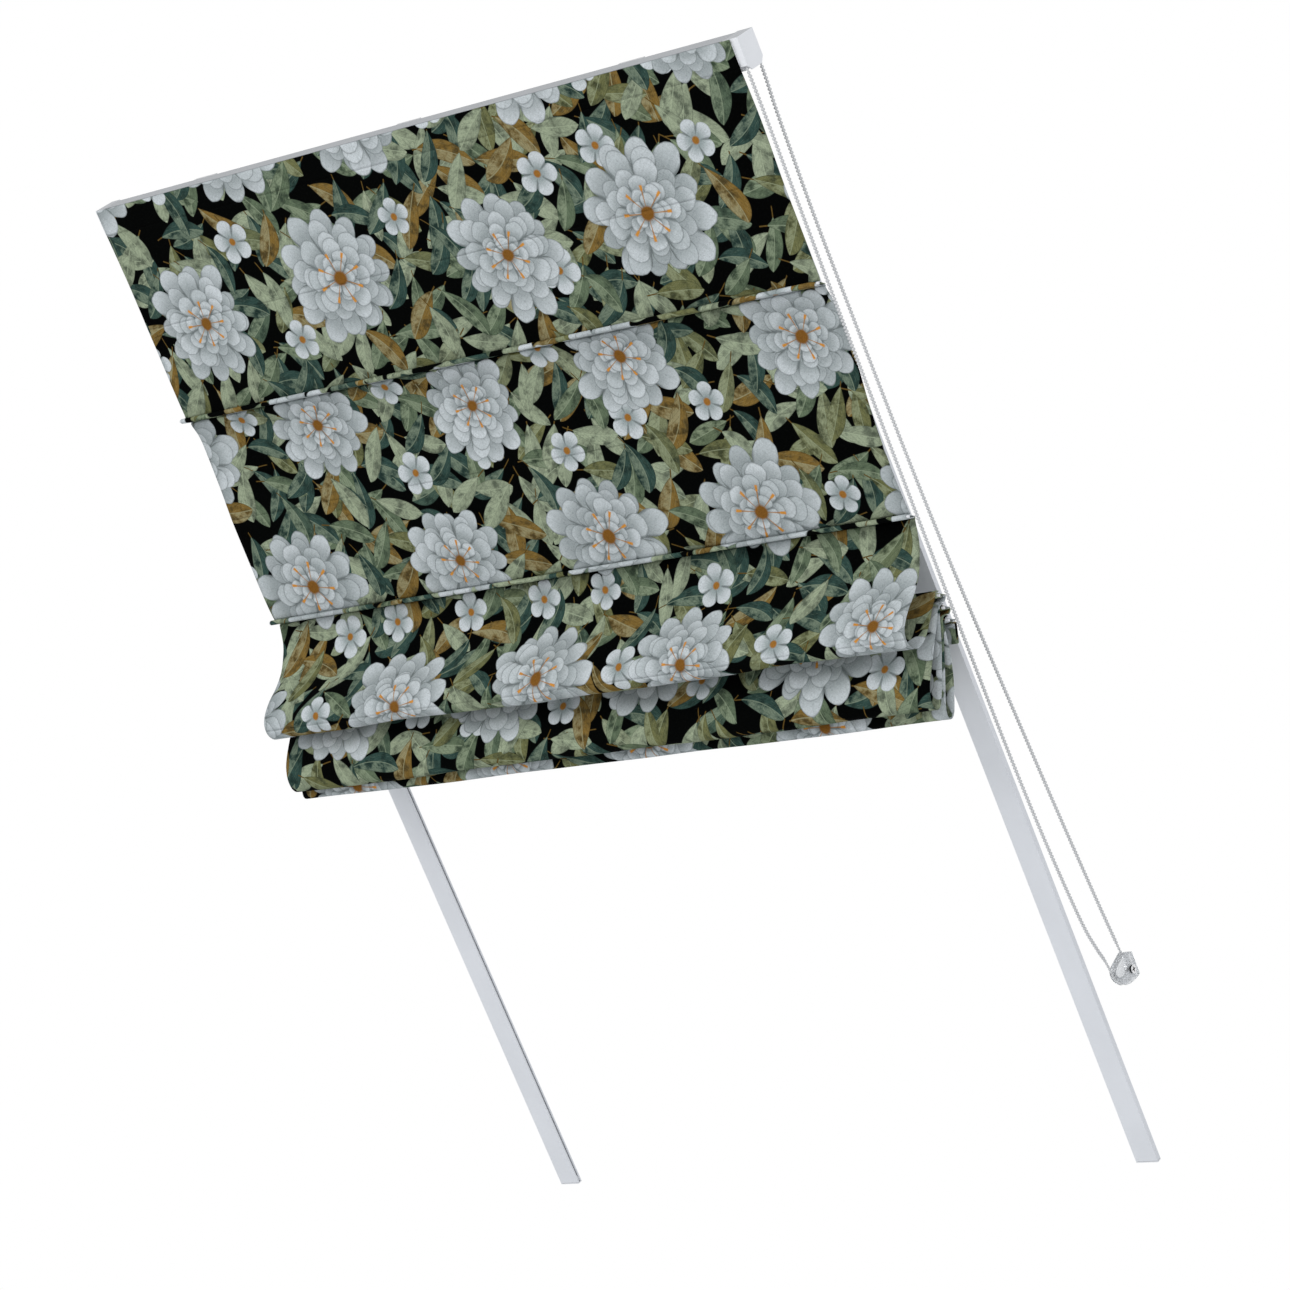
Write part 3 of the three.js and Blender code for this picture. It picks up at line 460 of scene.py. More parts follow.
# Each strand's points: X, drop and standoff
BACK_STRAND = (
    (0.4474, 0.050, 0.0052), (0.4484, 0.080, 0.0093), (0.4501, 0.123, 0.0136),
    (0.4521, 0.200, 0.0190), (0.4552, 0.310, 0.0236), (0.4582, 0.430, 0.0270),
    (0.4607, 0.520, 0.0286), (0.4633, 0.620, 0.0274), (0.4664, 0.730, 0.0246),
    (0.4694, 0.850, 0.0208), (0.4725, 0.960, 0.0164), (0.4743, 1.018, 0.0132),
)
FRONT_STRAND = (
    (0.4744, 1.018, 0.0436), (0.4737, 1.000, 0.0486), (0.4725, 0.970, 0.0540),
    (0.4708, 0.910, 0.0576), (0.4684, 0.840, 0.0586), (0.4659, 0.760, 0.0574),
    (0.4629, 0.650, 0.0536), (0.4596, 0.530, 0.0490), (0.4566, 0.420, 0.0446),
    (0.4531, 0.300, 0.0390), (0.4501, 0.180, 0.0334), (0.4480, 0.090, 0.0292),
    (0.4470, 0.050, 0.0276),
)


def half_turn(wheel, side):
    """Points round half a wheel from its back to its front, by its top for side -1."""
    across, drop, standoff, radius = wheel
    angles = np.linspace(0, math.pi, TURN_POINTS)
    return np.stack([np.full(TURN_POINTS, across), drop + side * radius * np.sin(angles),
                     standoff - radius * np.cos(angles)], -1)


def chain_route():
    """The closed route of the chain, as places in the room."""
    route = np.concatenate([half_turn(WHEEL, -1)[::-1], BACK_STRAND, half_turn(IDLER, 1),
                            FRONT_STRAND])
    return np.concatenate([route[:, :1], room(route[:, 1], route[:, 2])], 1)


def bead_widths(centres, sizes):
    """Each bead's width: full on the strands, less where it runs in the cap or the tensioner."""
    axles = room(*np.array([WHEEL[1:3], IDLER[1:3]]).T)
    reach = np.linalg.norm(centres[:, None, 1:] - axles, axis=2).min(1)
    return np.interp(reach, GUIDE_END, (sizes.bead_guided, sizes.bead))


def ball(rings=5, segments=8):
    """A ball 1 across, from rings of latitude with one vertex at each pole."""
    tilt = np.linspace(0, math.pi, rings + 1)[1:-1]
    turn = np.linspace(0, 2 * math.pi, segments, endpoint=False)
    tilts, turns = np.meshgrid(tilt, turn, indexing="ij")
    belt = np.stack([np.sin(tilts) * np.cos(turns), np.sin(tilts) * np.sin(turns),
                     np.cos(tilts)], -1).reshape(-1, 3)
    vertices = np.concatenate([belt, [[0, 0, 1], [0, 0, -1]]]) / 2
    j = np.arange(segments)
    k = (j + 1) % segments
    quads = [(a + r * segments, a + (r + 1) * segments, b + (r + 1) * segments, b + r * segments)
             for r in range(rings - 2) for a, b in zip(j, k)]
    last = (rings - 2) * segments
    caps = [(len(belt), a, b) for a, b in zip(j, k)]
    caps += [(len(belt) + 1, b + last, a + last) for a, b in zip(j, k)]
    return vertices, quads, caps


def beads(centres, widths, length):
    """A ball at each centre, as wide as given and squeezed along the chain to one length."""
    vertices, quads, caps = ball()
    along = directions(centres)
    widths = widths[:, None]
    squeezed = (vertices @ along.T).T * (widths - length)
    points = (centres[:, None] + vertices * widths[:, :, None]
              - squeezed[:, :, None] * along[:, None])
    shift = (np.arange(len(centres)) * len(vertices))[:, None, None]
    faces = (np.array(quads) + shift).reshape(-1, 4).tolist()
    faces += (np.array(caps) + shift).reshape(-1, 3).tolist()
    return points.reshape(-1, 3), faces


def tube(centres, radius, sides):
    """A closed tube: a ring square to the path at each centre, each joined to the next."""
    along = directions(centres)
    side = np.array([1.0, 0, 0]) - along * along[:, :1]
    side /= np.linalg.norm(side, axis=1)[:, None]
    out = np.cross(along, side)
    angle = np.linspace(0, 2 * math.pi, sides, endpoint=False)
    rings = (centres[:, None] + radius * (np.cos(angle)[None, :, None] * side[:, None]
                                          + np.sin(angle)[None, :, None] * out[:, None]))
    i, j = np.meshgrid(np.arange(len(centres)), np.arange(sides), indexing="ij")
    i2, j2 = (i + 1) % len(centres), (j + 1) % sides
    faces = np.stack([i * sides + j, i * sides + j2, i2 * sides + j2, i2 * sides + j], -1)
    return rings.reshape(-1, 3), faces.reshape(-1, 4)


class BLIND_OT_chain(bpy.types.Operator):
    """Thread the bead chain over its wheel and round the tensioner"""

    bl_idname = "blind.chain"
    bl_label = "Thread the chain"

    def execute(self, context):
        sizes = context.scene.blind_sizes
        route, places = evenly(chain_route(), ROUTE_STEP, closed=True)
        count = int(round(places[-1] / sizes.bead_pitch))
        at = np.linspace(0, places[-1], count, endpoint=False)
        centres = np.stack([np.interp(at, places, axis) for axis in route.T], -1)
        points, faces = beads(centres, bead_widths(centres, sizes), sizes.bead_length)
        thread, thread_faces = tube(centres, sizes.thread / 2, THREAD_SIDES)
        faces += (thread_faces + len(points)).tolist()
        piece = new_object("chain_beads", np.concatenate([points, thread]), faces,
                           material=moulded("Bead plastic", "bead", 0.32, 900.0))
        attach(piece, "frame")
        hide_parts("bead_chain")
        return {"FINISHED"}


# Materials

# The print, in metres on the flat cloth.
# A leaf's cell along and across it, how far leaves stray in their cells, and half a leaf
LEAF_CELL = (0.080, 0.041)
LEAF_JITTER = 0.26
LEAF_HALF = (0.0345, 0.0125)
# Each layer of leaves: their angle, where its scatter starts and the share of cells with a leaf
LEAF_LAYERS = ((0.45, 0.3, 0.90), (2.25, 5.1, 0.84), (1.30, 9.7, 0.78), (2.85, 3.4, 0.72),
               (0.85, 7.9, 0.64), (1.95, 12.6, 0.30))
# The colours after teal, each with the tones between which it takes over
LEAF_TONES = (("moss", 0.26, 0.30), ("olive", 0.50, 0.54), ("sage", 0.66, 0.70))
STALK_END = 0.050
# The small blossoms' cell, and the share of cells with one
BLOSSOM_SPACING = 0.104
BLOSSOM_SHARE = 0.60
BLOSSOM_JITTER = 0.5
BLOSSOM_START = 0.4
BLOSSOM_RADIUS = 0.0265
BLOSSOM_PETALS = 5
# The rosettes' cell across and down, how far they stray in it, and their least and extra radius
ROSETTE_CELL = (0.216, 0.182)
ROSETTE_STRAY = (0.16, 0.12)
ROSETTE_RADIUS = (0.066, 0.014)
# Each ring of petals: its share of the radius, its petals and its turn. Then the heart's share.
ROSETTE_RINGS = ((1.00, 12, 0.0), (0.84, 11, 0.9), (0.69, 9, 0.3), (0.54, 8, 1.1),
                 (0.40, 7, 0.5), (0.28, 5, 0.0))
ROSETTE_HEART = 0.16
# The weave: its threads in a metre, and how much a thread is drawn out along its run
THREAD_SCALE = 2600.0
THREAD_STRETCH = 0.12
# The colour of the painted highlight on the threads' crests; black is the painted shade between
# them
WEAVE_HIGHLIGHT = (0.75, 0.76, 0.74)
BLACK = (0.0, 0.0, 0.0)

# How far behind the face of the screw's head its steel is painted dark as painted shade in the
# recess, and where it is bright again
SCREW_RECESS_SHADE = (0.0009, 0.0003)


def toned(colour, factor):
    """A plain colour made darker or lighter."""
    return tuple(part * factor for part in colour)


def feed(slot, value):
    """Link a field into a node's input, or set the input to a plain value."""
    if isinstance(value, Field):
        value.tree.links.new(value.socket, slot)
    else:
        slot.default_value = value


class Field:
    """A number or place that varies over a surface. Sums and products of fields are Math nodes."""

    def __init__(self, tree, socket):
        self.tree, self.socket = tree, socket

    def math(self, operation, *others):
        node = self.tree.nodes.new("ShaderNodeMath")
        node.operation = operation
        for slot, value in zip(node.inputs, (self, *others)):
            feed(slot, value)
        return Field(self.tree, node.outputs[0])

    def __add__(self, other):
        return self.math("ADD", other)

    def __sub__(self, other):
        return self.math("SUBTRACT", other)

    def __mul__(self, other):
        return self.math("MULTIPLY", other)

    def __truediv__(self, other):
        return self.math("DIVIDE", other)

    __radd__, __rmul__ = __add__, __mul__

    def __rsub__(self, other):
        return (self * -1.0) + other

    def __abs__(self):
        return self.math("ABSOLUTE")

    def __pow__(self, other):
        return self.math("POWER", other)

    def sin(self):
        return self.math("SINE")

    def cos(self):
        return self.math("COSINE")

    def most(self, other):
        return self.math("MAXIMUM", other)

    def ramp(self, low, high):
        """0 below low and 1 above high, with a smooth step between; low may be the greater."""
        node = self.tree.nodes.new("ShaderNodeMapRange")
        node.interpolation_type = "SMOOTHSTEP"
        for slot, value in zip(node.inputs, (self, low, high)):
            feed(slot, value)
        return Field(self.tree, node.outputs[0])


def from_node(tree, kind, output):
    """A field that a new node gives."""
    return Field(tree, tree.nodes.new(kind).outputs[output])


def place(x, y):
    """Two fields joined into one place."""
    node = x.tree.nodes.new("ShaderNodeCombineXYZ")
    feed(node.inputs[0], x)
    feed(node.inputs[1], y)
    return Field(x.tree, node.outputs[0])


def axes(field, count=2):
    """The X and Y of a place, or all three axes."""
    node = field.tree.nodes.new("ShaderNodeSeparateXYZ")
    feed(node.inputs[0], field)
    return [Field(field.tree, output) for output in node.outputs[:count]]


def mix(share, first, second):
    """From the first colour to the second by a share; each may be a field or plain numbers."""
    tree = next(part.tree for part in (share, first, second) if isinstance(part, Field))
    node = tree.nodes.new("ShaderNodeMix")
    node.data_type = "RGBA"
    feed(node.inputs[0], share)
    for slot, value in ((node.inputs[6], first), (node.inputs[7], second)):
        feed(slot, value if isinstance(value, Field) else (*value, 1.0))
    return Field(tree, node.outputs[2])


def random_parts(tree, colour):
    """The three parts of a random colour, each between 0 and 1."""
    node = tree.nodes.new("ShaderNodeSeparateColor")
    tree.links.new(colour, node.inputs[0])
    return [Field(tree, output) for output in node.outputs]


def cells(where, jitter):
    """The nearest of a scatter of points: the offset from it, and three random numbers for it."""
    tree = where.tree
    node = tree.nodes.new("ShaderNodeTexVoronoi")
    node.voronoi_dimensions = "2D"
    node.inputs["Scale"].default_value = 1.0
    node.inputs["Randomness"].default_value = jitter
    feed(node.inputs["Vector"], where)
    x, y = axes(where)
    cx, cy = axes(Field(tree, node.outputs["Position"]))
    return x - cx, y - cy, random_parts(tree, node.outputs["Color"])


def noise(where, scale, detail=2.0, rough=0.5):
    """Soft noise between 0 and 1."""
    node = where.tree.nodes.new("ShaderNodeTexNoise")
    node.inputs["Scale"].default_value = scale
    node.inputs["Detail"].default_value = detail
    node.inputs["Roughness"].default_value = rough
    feed(node.inputs["Vector"], where)
    return Field(where.tree, node.outputs[0])


def new_material(name):
    """A material with only its shader and output, its nodes and its shader."""
    material = bpy.data.materials.new(name)
    material.use_nodes = True
    tree = material.node_tree
    return material, tree, tree.nodes["Principled BSDF"]


def bump(shader, height, distance, strength):
    """Relief from a field of heights."""
    node = height.tree.nodes.new("ShaderNodeBump")
    node.inputs["Strength"].default_value = strength
    node.inputs["Distance"].default_value = distance
    feed(node.inputs["Height"], height)
    feed(shader.inputs["Normal"], Field(height.tree, node.outputs[0]))


def leaf_layer(under, u, v, colours, angle, shift, keep):
    """One layer of leaves over a colour, all lying within some degrees of one angle.

    The cloth is turned and squeezed so that each leaf has a long cell of its own. A leaf is
    where the distance across is under a width that falls to nothing at both tips. It has a pale
    midrib, slanting veins, one half darker than the other, and a thin stalk.
    """
    cos, sin = math.cos(angle), math.sin(angle)
    long, wide = LEAF_CELL
    half_length, half_width = LEAF_HALF
    a = (u * cos + v * sin) * (1 / long) + shift
    b = (v * cos - u * sin) * (1 / wide) + shift * 1.7
    a = a + (b * 0.7 + shift).sin() * 0.30
    da, db, (red, green, blue) = cells(place(a, b), LEAF_JITTER)
    size_of = 1.22 - blue * 0.25
    tilt = (red - 0.5) * 0.55
    x = (da * long + db * tilt * wide) * size_of
    y = (db * wide - da * tilt * long) * size_of
    y = y + x * x * (green - 0.5) * 14.0
    along = x * (1 / half_length)
    belly = (1.0 - along * along).most(0.0) ** 0.80
    width = belly * (1.0 - along * 0.28) * half_width
    side_on = abs(y)
    edge = width - side_on
    present = green.math("LESS_THAN", keep)
    stalk = (side_on.ramp(0.0010, 0.0006) * x.ramp(STALK_END, STALK_END - 0.003)
             * x.math("GREATER_THAN", 0.0))
    tone = (green * (1 / keep)).math("FRACT")
    base = colours.teal
    for name, low, high in LEAF_TONES:
        base = mix(tone.ramp(low, high), base, getattr(colours, name))
    base = mix(blue.math("GREATER_THAN", 0.87), base, colours.ochre)
    dark = mix(0.70, base, toned(colours.teal, 0.20))
    pale = mix(0.40, base, toned(colours.sage, 1.6))
    wash = noise(place(u, v), 70.0, 3.0, 0.6)
    strokes = noise(place(x * 60.0, y * 900.0), 1.0, 3.0, 0.6)
    body = mix(wash.ramp(0.30, 0.58), dark, base)
    body = mix(y.ramp(-0.0005, 0.0005) * wash.ramp(0.36, 0.60) * 0.75, body, pale)
    body = mix(strokes.ramp(0.50, 0.70) * 0.45, body, dark)
    body = mix(strokes.ramp(0.46, 0.30) * 0.35, body, pale)
    veins = (side_on * 1300.0 + x * 820.0).sin().ramp(0.55, 1.0)
    body = mix(veins * 0.22, body, dark)
    body = mix(side_on.ramp(0.0009, 0.0003) * 0.70, body, pale)
    body = mix(edge.ramp(0.0018, 0.0) * 0.65, body, dark)
    layered = mix(stalk * present, under, toned(colours.ochre, 0.5))
    return mix(edge.ramp(0.0, 0.0005) * present, layered, body)


def blossom_layer(under, u, v, colours):
    """Small open blossoms, each a ring of round petals about a warm centre.

    A blossom is where the distance from its centre is under a radius that rises and falls with
    the angle, once for each petal.
    """
    a = u * (1 / BLOSSOM_SPACING) + BLOSSOM_START
    b = v * (1 / BLOSSOM_SPACING) + BLOSSOM_START * 2.3
    da, db, (red, green, blue) = cells(place(a, b), BLOSSOM_JITTER)
    x, y = da * BLOSSOM_SPACING, db * BLOSSOM_SPACING
    r = (x * x + y * y).math("SQRT") * (1 / BLOSSOM_RADIUS)
    angle = y.math("ARCTAN2", x) + red * math.tau
    size_of = 0.82 + blue * 0.18
    lobe = abs((angle * (BLOSSOM_PETALS / 2)).cos())
    rim = (0.62 + (lobe ** 0.55) * 0.38) * size_of
    edge = rim - r
    mask = edge.ramp(0.0, 0.03) * green.math("LESS_THAN", BLOSSOM_SHARE)
    crease = lobe.ramp(0.42, 0.08) * r.ramp(0.1, 0.4)
    streak = (angle * 34.0).sin().ramp(0.2, 1.0) * r.ramp(0.85, 0.35)
    body = mix(r.ramp(0.75, 0.12), colours.petal, colours.petal_shade)
    body = mix(crease * 0.85, body, toned(colours.petal_shade, 0.5))
    body = mix(streak * 0.3, body, colours.petal_shade)
    body = mix(edge.ramp(0.07, 0.0) * 0.5, body, colours.petal_shade)
    body = mix(r.ramp(0.20, 0.12), body, toned(colours.stamen, 0.7))
    return mix(mask, under, body)


def random_for(first, second):
    """Three random numbers between 0 and 1 for each pair of whole numbers."""
    tree = first.tree
    node = tree.nodes.new("ShaderNodeTexWhiteNoise")
    node.noise_dimensions = "2D"
    feed(node.inputs["Vector"], place(first, second))
    return random_parts(tree, node.outputs["Color"])


def rosette_layer(under, u, v, colours):
    """Large full rosettes on a staggered lattice: rings of petals, each over the ring outside it.

    In each ring a petal's edge is a circle about the rosette's centre that dips between petals.
    Every petal has a length and a tone of its own, and every ring is shaded where the next one
    lies over it.
    """
    across, down = ROSETTE_CELL
    least, extra = ROSETTE_RADIUS
    b = v * (1 / down) + 0.31
    row = b.math("FLOOR")
    a = u * (1 / across) + row * 0.5 + 0.62
    column = a.math("FLOOR")
    red, green, blue = random_for(column, row)
    x = (a - column - 0.5 - (red - 0.5) * ROSETTE_STRAY[0]) * across
    y = (b - row - 0.5 - (green - 0.5) * ROSETTE_STRAY[1]) * down
    r = (x * x + y * y).math("SQRT") / (least + blue * extra)
    angle = y.math("ARCTAN2", x) + red * math.tau
    wobble = noise(place(u, v), 46.0, 2.0) - 0.5
    r = r + wobble * 0.09
    bloom = column * 3.0 + row * 19.0
    streaks = noise(place(angle * 5.0, r * 1.2), 3.0, 3.0, 0.6)
    layered = under
    inner_reaches = [ring[0] for ring in ROSETTE_RINGS[1:]] + [ROSETTE_HEART]
    for index, (reach, petals, turn) in enumerate(ROSETTE_RINGS):
        phase = (angle + turn) * (petals / math.tau)
        petal = (phase + 0.5).math("FLOOR").math("FLOORED_MODULO", petals)
        long, pale, bright = random_for(petal + 31.0 * index, bloom)
        lobe = abs((phase * math.pi).cos())
        rim = (0.72 + (lobe ** 0.6) * 0.28) * (long * 0.26 + 0.84) * reach
        edge = rim - r
        inner = inner_reaches[index]
        depth = r.ramp(inner * 1.20, inner * 0.80)
        crease = lobe.ramp(0.40, 0.05)
        body = mix(pale * 0.32, colours.petal, colours.petal_shade)
        body = mix(bright.ramp(0.70, 0.95) * 0.5, body, toned(colours.petal, 1.10))
        body = mix(depth * 0.58, body, toned(colours.petal_shade, 0.62))
        body = mix(crease * 0.75, body, toned(colours.petal_shade, 0.36))
        body = mix(streaks.ramp(0.48, 0.68) * 0.22, body, colours.petal_shade)
        body = mix(edge.ramp(0.035, 0.0) * 0.80, body, toned(colours.petal_shade, 0.35))
        layered = mix(edge.ramp(0.0, 0.015), layered, body)
    spokes = (angle * 8.0 + green * 6.0).cos()
    filaments = spokes.ramp(0.90, 0.99) * r.ramp(0.36, 0.32)
    anthers = spokes.ramp(0.82, 0.96) * abs(r - 0.34).ramp(0.05, 0.03)
    layered = mix(filaments * 0.8, layered, toned(colours.stamen, 0.8))
    layered = mix(anthers, layered, toned(colours.stamen, 1.3))
    return mix(r.ramp(0.13, 0.08), layered, toned(colours.stamen, 0.45))


def printed_cotton():
    """Cotton with a dense garden print in layers, and the cloth's own weave over it, with painted
    shade between its threads and a faint painted highlight on them.
    """
    colours = bpy.context.scene.blind_colours
    material, tree, shader = new_material("Printed cotton")
    uv = tree.nodes.new("ShaderNodeUVMap")
    uv.uv_map = "Cloth"
    where = Field(tree, uv.outputs[0])
    u, v = axes(where)
    drift = noise(where, 9.0, 1.0)
    colour = mix(drift.ramp(0.35, 0.65), colours.ground, toned(colours.ground, 1.6))
    for angle, shift, keep in LEAF_LAYERS:
        colour = leaf_layer(colour, u, v, colours, angle, shift, keep)
    colour = blossom_layer(colour, u, v, colours)
    colour = rosette_layer(colour, u, v, colours)
    weft = noise(place(u * THREAD_STRETCH, v), THREAD_SCALE, 1.0)
    warp = noise(place(u, v * THREAD_STRETCH), THREAD_SCALE, 1.0)
    weave = weft + warp
    # Painted shade darkens the hollows between the threads, and a faint painted highlight lightens
    # their crests
    colour = mix(weave.ramp(1.15, 0.75) * 0.30, colour, BLACK)
    colour = mix(weave.ramp(1.05, 1.45) * 0.006, colour, WEAVE_HIGHLIGHT)
    feed(shader.inputs["Base Color"], colour)
    shader.inputs["Roughness"].default_value = 0.92
    shader.inputs["Specular IOR Level"].default_value = 0.02
    bump(shader, weave, 0.00035, 0.5)
    return material


def moulded(name, colour, roughness, grain, depth=0.00004, metallic=0.0, painted_top_shade=0.0):
    """Moulded or painted stuff: its colour with faint cloudiness and a fine grain in relief.

    Painted shade greys the faces that look up the slope, where less light falls.
    """
    found = bpy.data.materials.get(name)
    if found:
        return found
    colours = bpy.context.scene.blind_colours
    base = getattr(colours, colour)
    material, tree, shader = new_material(name)
    where = from_node(tree, "ShaderNodeTexCoord", "Object")
    tint = mix(noise(where, 14.0, 3.0).ramp(0.3, 0.7), base, toned(base, 0.955))
    # Painted shade: faces that look up the slope are tinted towards the headrail's grey
    if painted_top_shade:
        _, y, z = axes(from_node(tree, "ShaderNodeNewGeometry", "Normal"), 3)
        up_slope = z * math.sin(PITCH) - y * math.cos(PITCH)
        tint = mix(up_slope.ramp(0.80, 0.95) * painted_top_shade, tint, colours.headrail)
    feed(shader.inputs["Base Color"], tint)
    fine = noise(where, grain)
    feed(shader.inputs["Roughness"], fine * 0.10 + (roughness - 0.05))
    shader.inputs["Metallic"].default_value = metallic
    bump(shader, fine, depth, 0.6)
    return material


def clear_plastic():
    """Clear moulded plastic, a little hazy, with soft flow marks in relief."""
    base = bpy.context.scene.blind_colours.tensioner
    material, tree, shader = new_material("Clear plastic")
    haze = noise(from_node(tree, "ShaderNodeTexCoord", "Object"), 160.0)
    feed(shader.inputs["Base Color"], mix(haze, base, toned(base, 1.12)))
    feed(shader.inputs["Roughness"], haze * 0.08 + 0.04)
    shader.inputs["Transmission Weight"].default_value = 0.70
    shader.inputs["IOR"].default_value = 1.46
    bump(shader, haze, 0.0001, 0.3)
    return material


def bright_screw(face):
    """Bright steel with painted shade in its recess: it darkens behind the face of the screw's
    head.
    """
    base = bpy.context.scene.blind_colours.screw
    material, tree, shader = new_material("Bright screw")
    where = from_node(tree, "ShaderNodeTexCoord", "Object")
    across, _ = axes(where)
    fine = noise(where, 1200.0)
    outside_recess_shade = across.ramp(*(face - depth for depth in SCREW_RECESS_SHADE))
    # Painted shade: behind the head's face the steel is nearly black, for the shade in the recess
    tint = mix(outside_recess_shade, toned(base, 0.03), mix(fine, base, toned(base, 0.9)))
    feed(shader.inputs["Base Color"], tint)
    feed(shader.inputs["Roughness"], fine * 0.08 + 0.12)
    shader.inputs["Metallic"].default_value = 1.0
    bump(shader, fine, 0.00001, 0.6)
    return material


class BLIND_OT_finishes(bpy.types.Operator):
    """Give every part of the frame, drive and rods its finish"""

    bl_idname = "blind.finishes"
    bl_label = "Apply the finishes"

    def execute(self, context):
        head = frame["nodes"]["tensioner_screw"]
        rail = moulded("Painted rail", "rails", 0.45, 900.0, 0.00002)
        finishes = {
            # The headrail's colour holds painted shade for its top face
            "headrail_metal": moulded("Painted headrail", "headrail", 0.42, 900.0, 0.00002),
            "rail_metal": rail,
            "bar_metal": rail,
            # The white plastic gets painted shade on its faces that look up the slope
            "white_plastic": moulded("White plastic", "white", 0.38, 420.0, painted_top_shade=0.9),
            "rod_plastic": moulded("Rod plastic", "white", 0.5, 700.0),
            "zinc_steel": moulded("Zinc plate", "zinc", 0.35, 700.0, 0.00003, metallic=0.9),
            "tape": moulded("Woven tape", "white", 0.95, 1500.0, 0.0003),
            "clear_plastic": clear_plastic(),
            "screw_steel": bright_screw(max(corner[0] for corner in head.bound_box)),
        }
        for entry in frame["record"]["subparts"]:
            finish = finishes.get(entry["material_slot"])
            if finish is not None:
                for slot in frame["nodes"][entry["node"]].material_slots:
                    slot.material = finish
        return {"FINISHED"}


# Stage

# The camera: millimetres for its sensor and lens, and metres for how far it sees
SENSOR_WIDTH = 36.0
LENS = 108.45
VIEW_END = 50.0
CAMERA_PLACE = (2.6474, -2.8378, -1.2174)
# The ways the picture's right and top and the camera's back face
CAMERA_AXES = ((0.77021, 0.63775, -0.00648), (0.11525, -0.12918, 0.98490),
               (0.62729, -0.75933, -0.17300))
FLOOR_HEIGHT = -2.0
FLOOR_REACH = 6.0
# Each lamp's name, place, the place it faces, its side and its power
LAMPS = (
    ("key", (-1.6, -3.4, 1.2), (0.0, 0.3, -0.5), 2.4, 62.0),
    ("fill", (3.0, -2.4, 0.2), (0.2, 0.2, -0.5), 2.4, 40.0),
    ("top", (0.4, 1.6, 2.4), (0.0, 0.3, -0.5), 2.6, 14.0),
)
AIR_LIGHT = (0.93, 0.96, 1.0, 1.0)
AIR_STRENGTH = 0.66
WHITE = (1.0, 1.0, 1.0, 1.0)


def studio_floor():
    """Pale paper with a soft mottle."""
    material, tree, shader = new_material("Pale paper")
    mottle = noise(from_node(tree, "ShaderNodeTexCoord", "Object"), 3.0)
    feed(shader.inputs["Base Color"], mix(mottle, toned(WHITE[:3], 0.84), toned(WHITE[:3], 0.90)))
    shader.inputs["Roughness"].default_value = 0.9
    return material


def surroundings():
    """Soft light from all sides, and plain white where the camera or a reflection looks out."""
    world = bpy.data.worlds.new("Surroundings")
    world.use_nodes = True
    tree = world.node_tree
    light = tree.nodes["Background"]
    light.inputs["Color"].default_value = AIR_LIGHT
    light.inputs["Strength"].default_value = AIR_STRENGTH
    seen = tree.nodes.new("ShaderNodeBackground")
    seen.inputs["Color"].default_value = WHITE
    path = tree.nodes.new("ShaderNodeLightPath")
    rays = Field(tree, path.outputs["Is Camera Ray"])
    for ray in ("Is Glossy Ray", "Is Transmission Ray"):
        rays = rays.most(Field(tree, path.outputs[ray]))
    blend = tree.nodes.new("ShaderNodeMixShader")
    for slot, output in zip(blend.inputs, (rays.socket, light.outputs[0], seen.outputs[0])):
        tree.links.new(output, slot)
    tree.links.new(blend.outputs[0], tree.nodes["World Output"].inputs["Surface"])
    return world


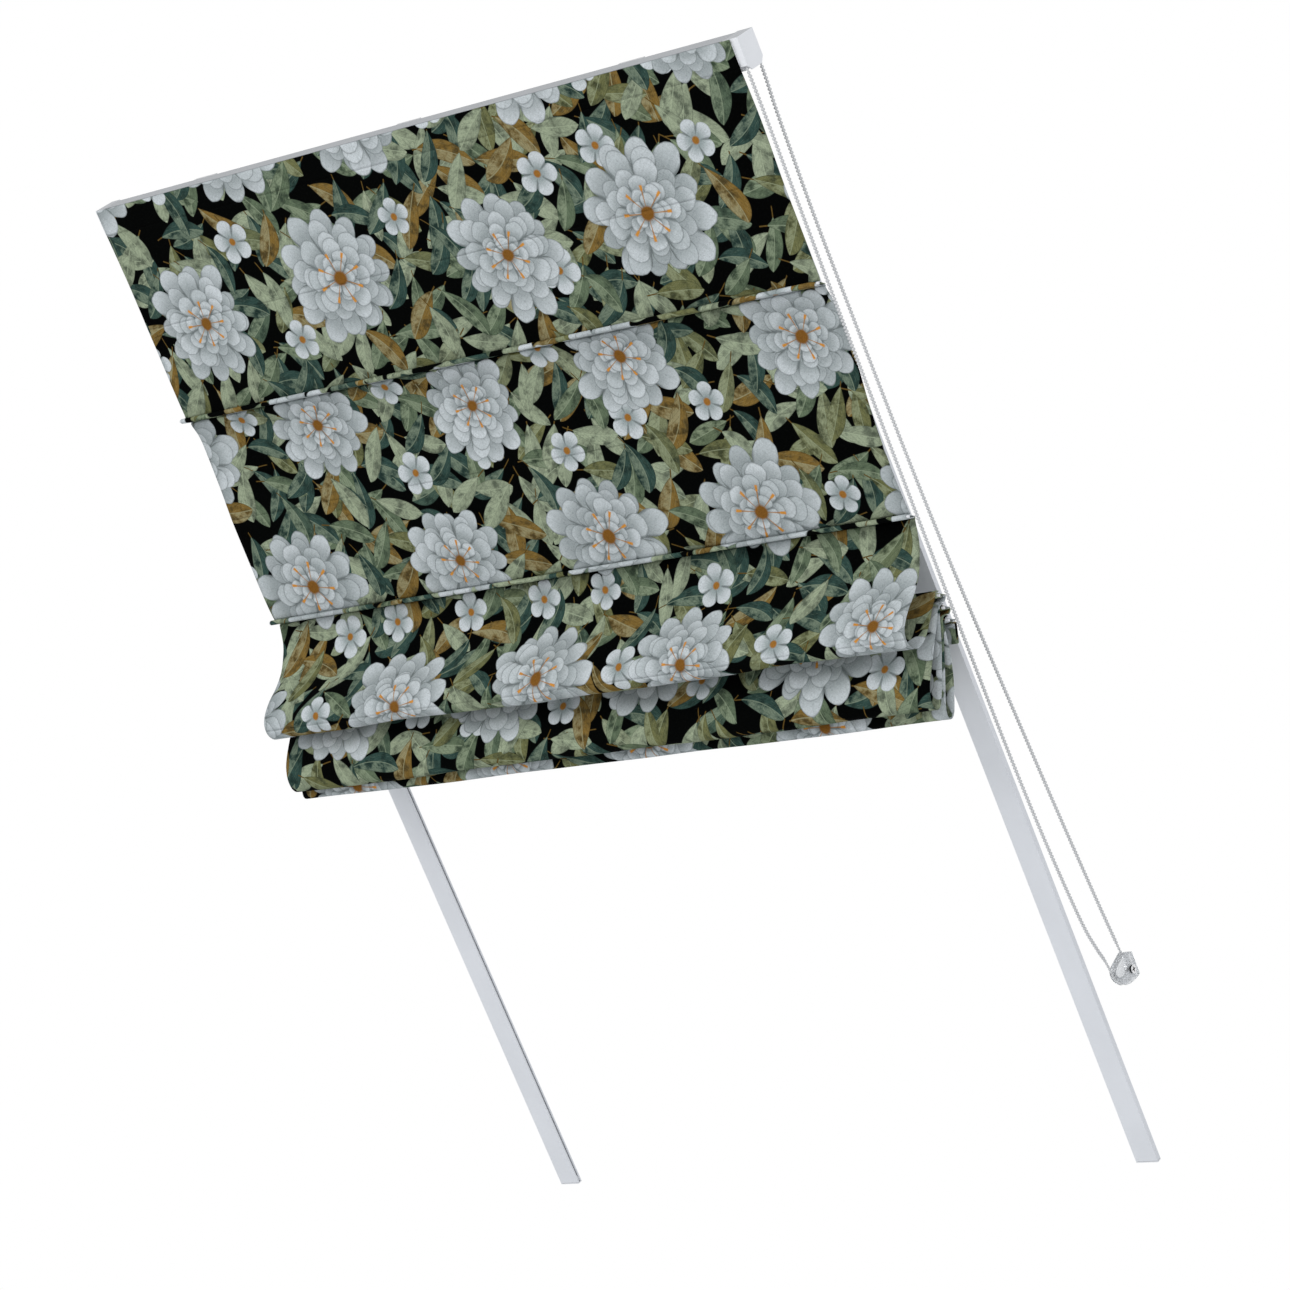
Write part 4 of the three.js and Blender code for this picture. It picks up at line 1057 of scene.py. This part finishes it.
class BLIND_OT_stage(bpy.types.Operator):
    """Set up the camera, the floor, the lamps and the pale surroundings"""

    bl_idname = "blind.stage"
    bl_label = "Set the stage"

    def execute(self, context):
        scene = context.scene
        data = bpy.data.cameras.new("Camera")
        data.sensor_width, data.lens, data.clip_end = SENSOR_WIDTH, LENS, VIEW_END
        camera = bpy.data.objects.new("Camera", data)
        turn = Matrix(CAMERA_AXES).transposed().to_4x4()
        camera.matrix_world = Matrix.Translation(CAMERA_PLACE) @ turn
        scene.collection.objects.link(camera)
        scene.camera = camera
        corners = [(x * FLOOR_REACH, y * FLOOR_REACH, FLOOR_HEIGHT)
                   for x, y in ((-1, -1), (1, -1), (1, 1), (-1, 1))]
        floor = new_object("floor", corners, [(0, 1, 2, 3)], material=studio_floor(),
                           smooth=False)
        for name, at, toward, side, power in LAMPS:
            lamp = bpy.data.lights.new(name, "AREA")
            lamp.shape, lamp.size, lamp.energy = "SQUARE", side, power
            holder = bpy.data.objects.new(name, lamp)
            aim = (Vector(toward) - Vector(at)).to_track_quat("-Z", "Y")
            holder.matrix_world = Matrix.Translation(at) @ aim.to_matrix().to_4x4()
            scene.collection.objects.link(holder)
        scene.world = surroundings()
        scene.view_settings.view_transform = "Standard"
        return {"FINISHED"}


# Panel and settings

class BLIND_PT_panel(bpy.types.Panel):
    """Lists the blind's sizes, colours and steps in the sidebar"""

    bl_idname = "BLIND_PT_panel"
    bl_label = "Roman blind"
    bl_space_type = "VIEW_3D"
    bl_region_type = "UI"
    bl_category = "Blind"

    def draw(self, context):
        for group in (context.scene.blind_sizes, context.scene.blind_colours):
            box = self.layout.box()
            for name in type(group).__annotations__:
                box.prop(group, name)
        for step in STEPS:
            self.layout.operator(step.bl_idname)


STEPS = (BLIND_OT_stage, BLIND_OT_chain, BLIND_OT_cloth, BLIND_OT_hem, BLIND_OT_finishes)
CLASSES = (BlindSizes, BlindColours, *STEPS, BLIND_PT_panel)


def register():
    """Add the classes and the blind's settings."""
    for kind in CLASSES:
        bpy.utils.register_class(kind)
    bpy.types.Scene.blind_sizes = PointerProperty(type=BlindSizes)
    bpy.types.Scene.blind_colours = PointerProperty(type=BlindColours)


def unregister():
    """Remove the blind's settings and the classes."""
    del bpy.types.Scene.blind_colours
    del bpy.types.Scene.blind_sizes
    for kind in reversed(CLASSES):
        bpy.utils.unregister_class(kind)


def main():
    """Build everything in order."""
    register()
    bpy.ops.blind.stage()
    bpy.ops.blind.chain()
    bpy.ops.blind.cloth()
    bpy.ops.blind.hem()
    bpy.ops.blind.finishes()


if __name__ == "__main__":
    main()
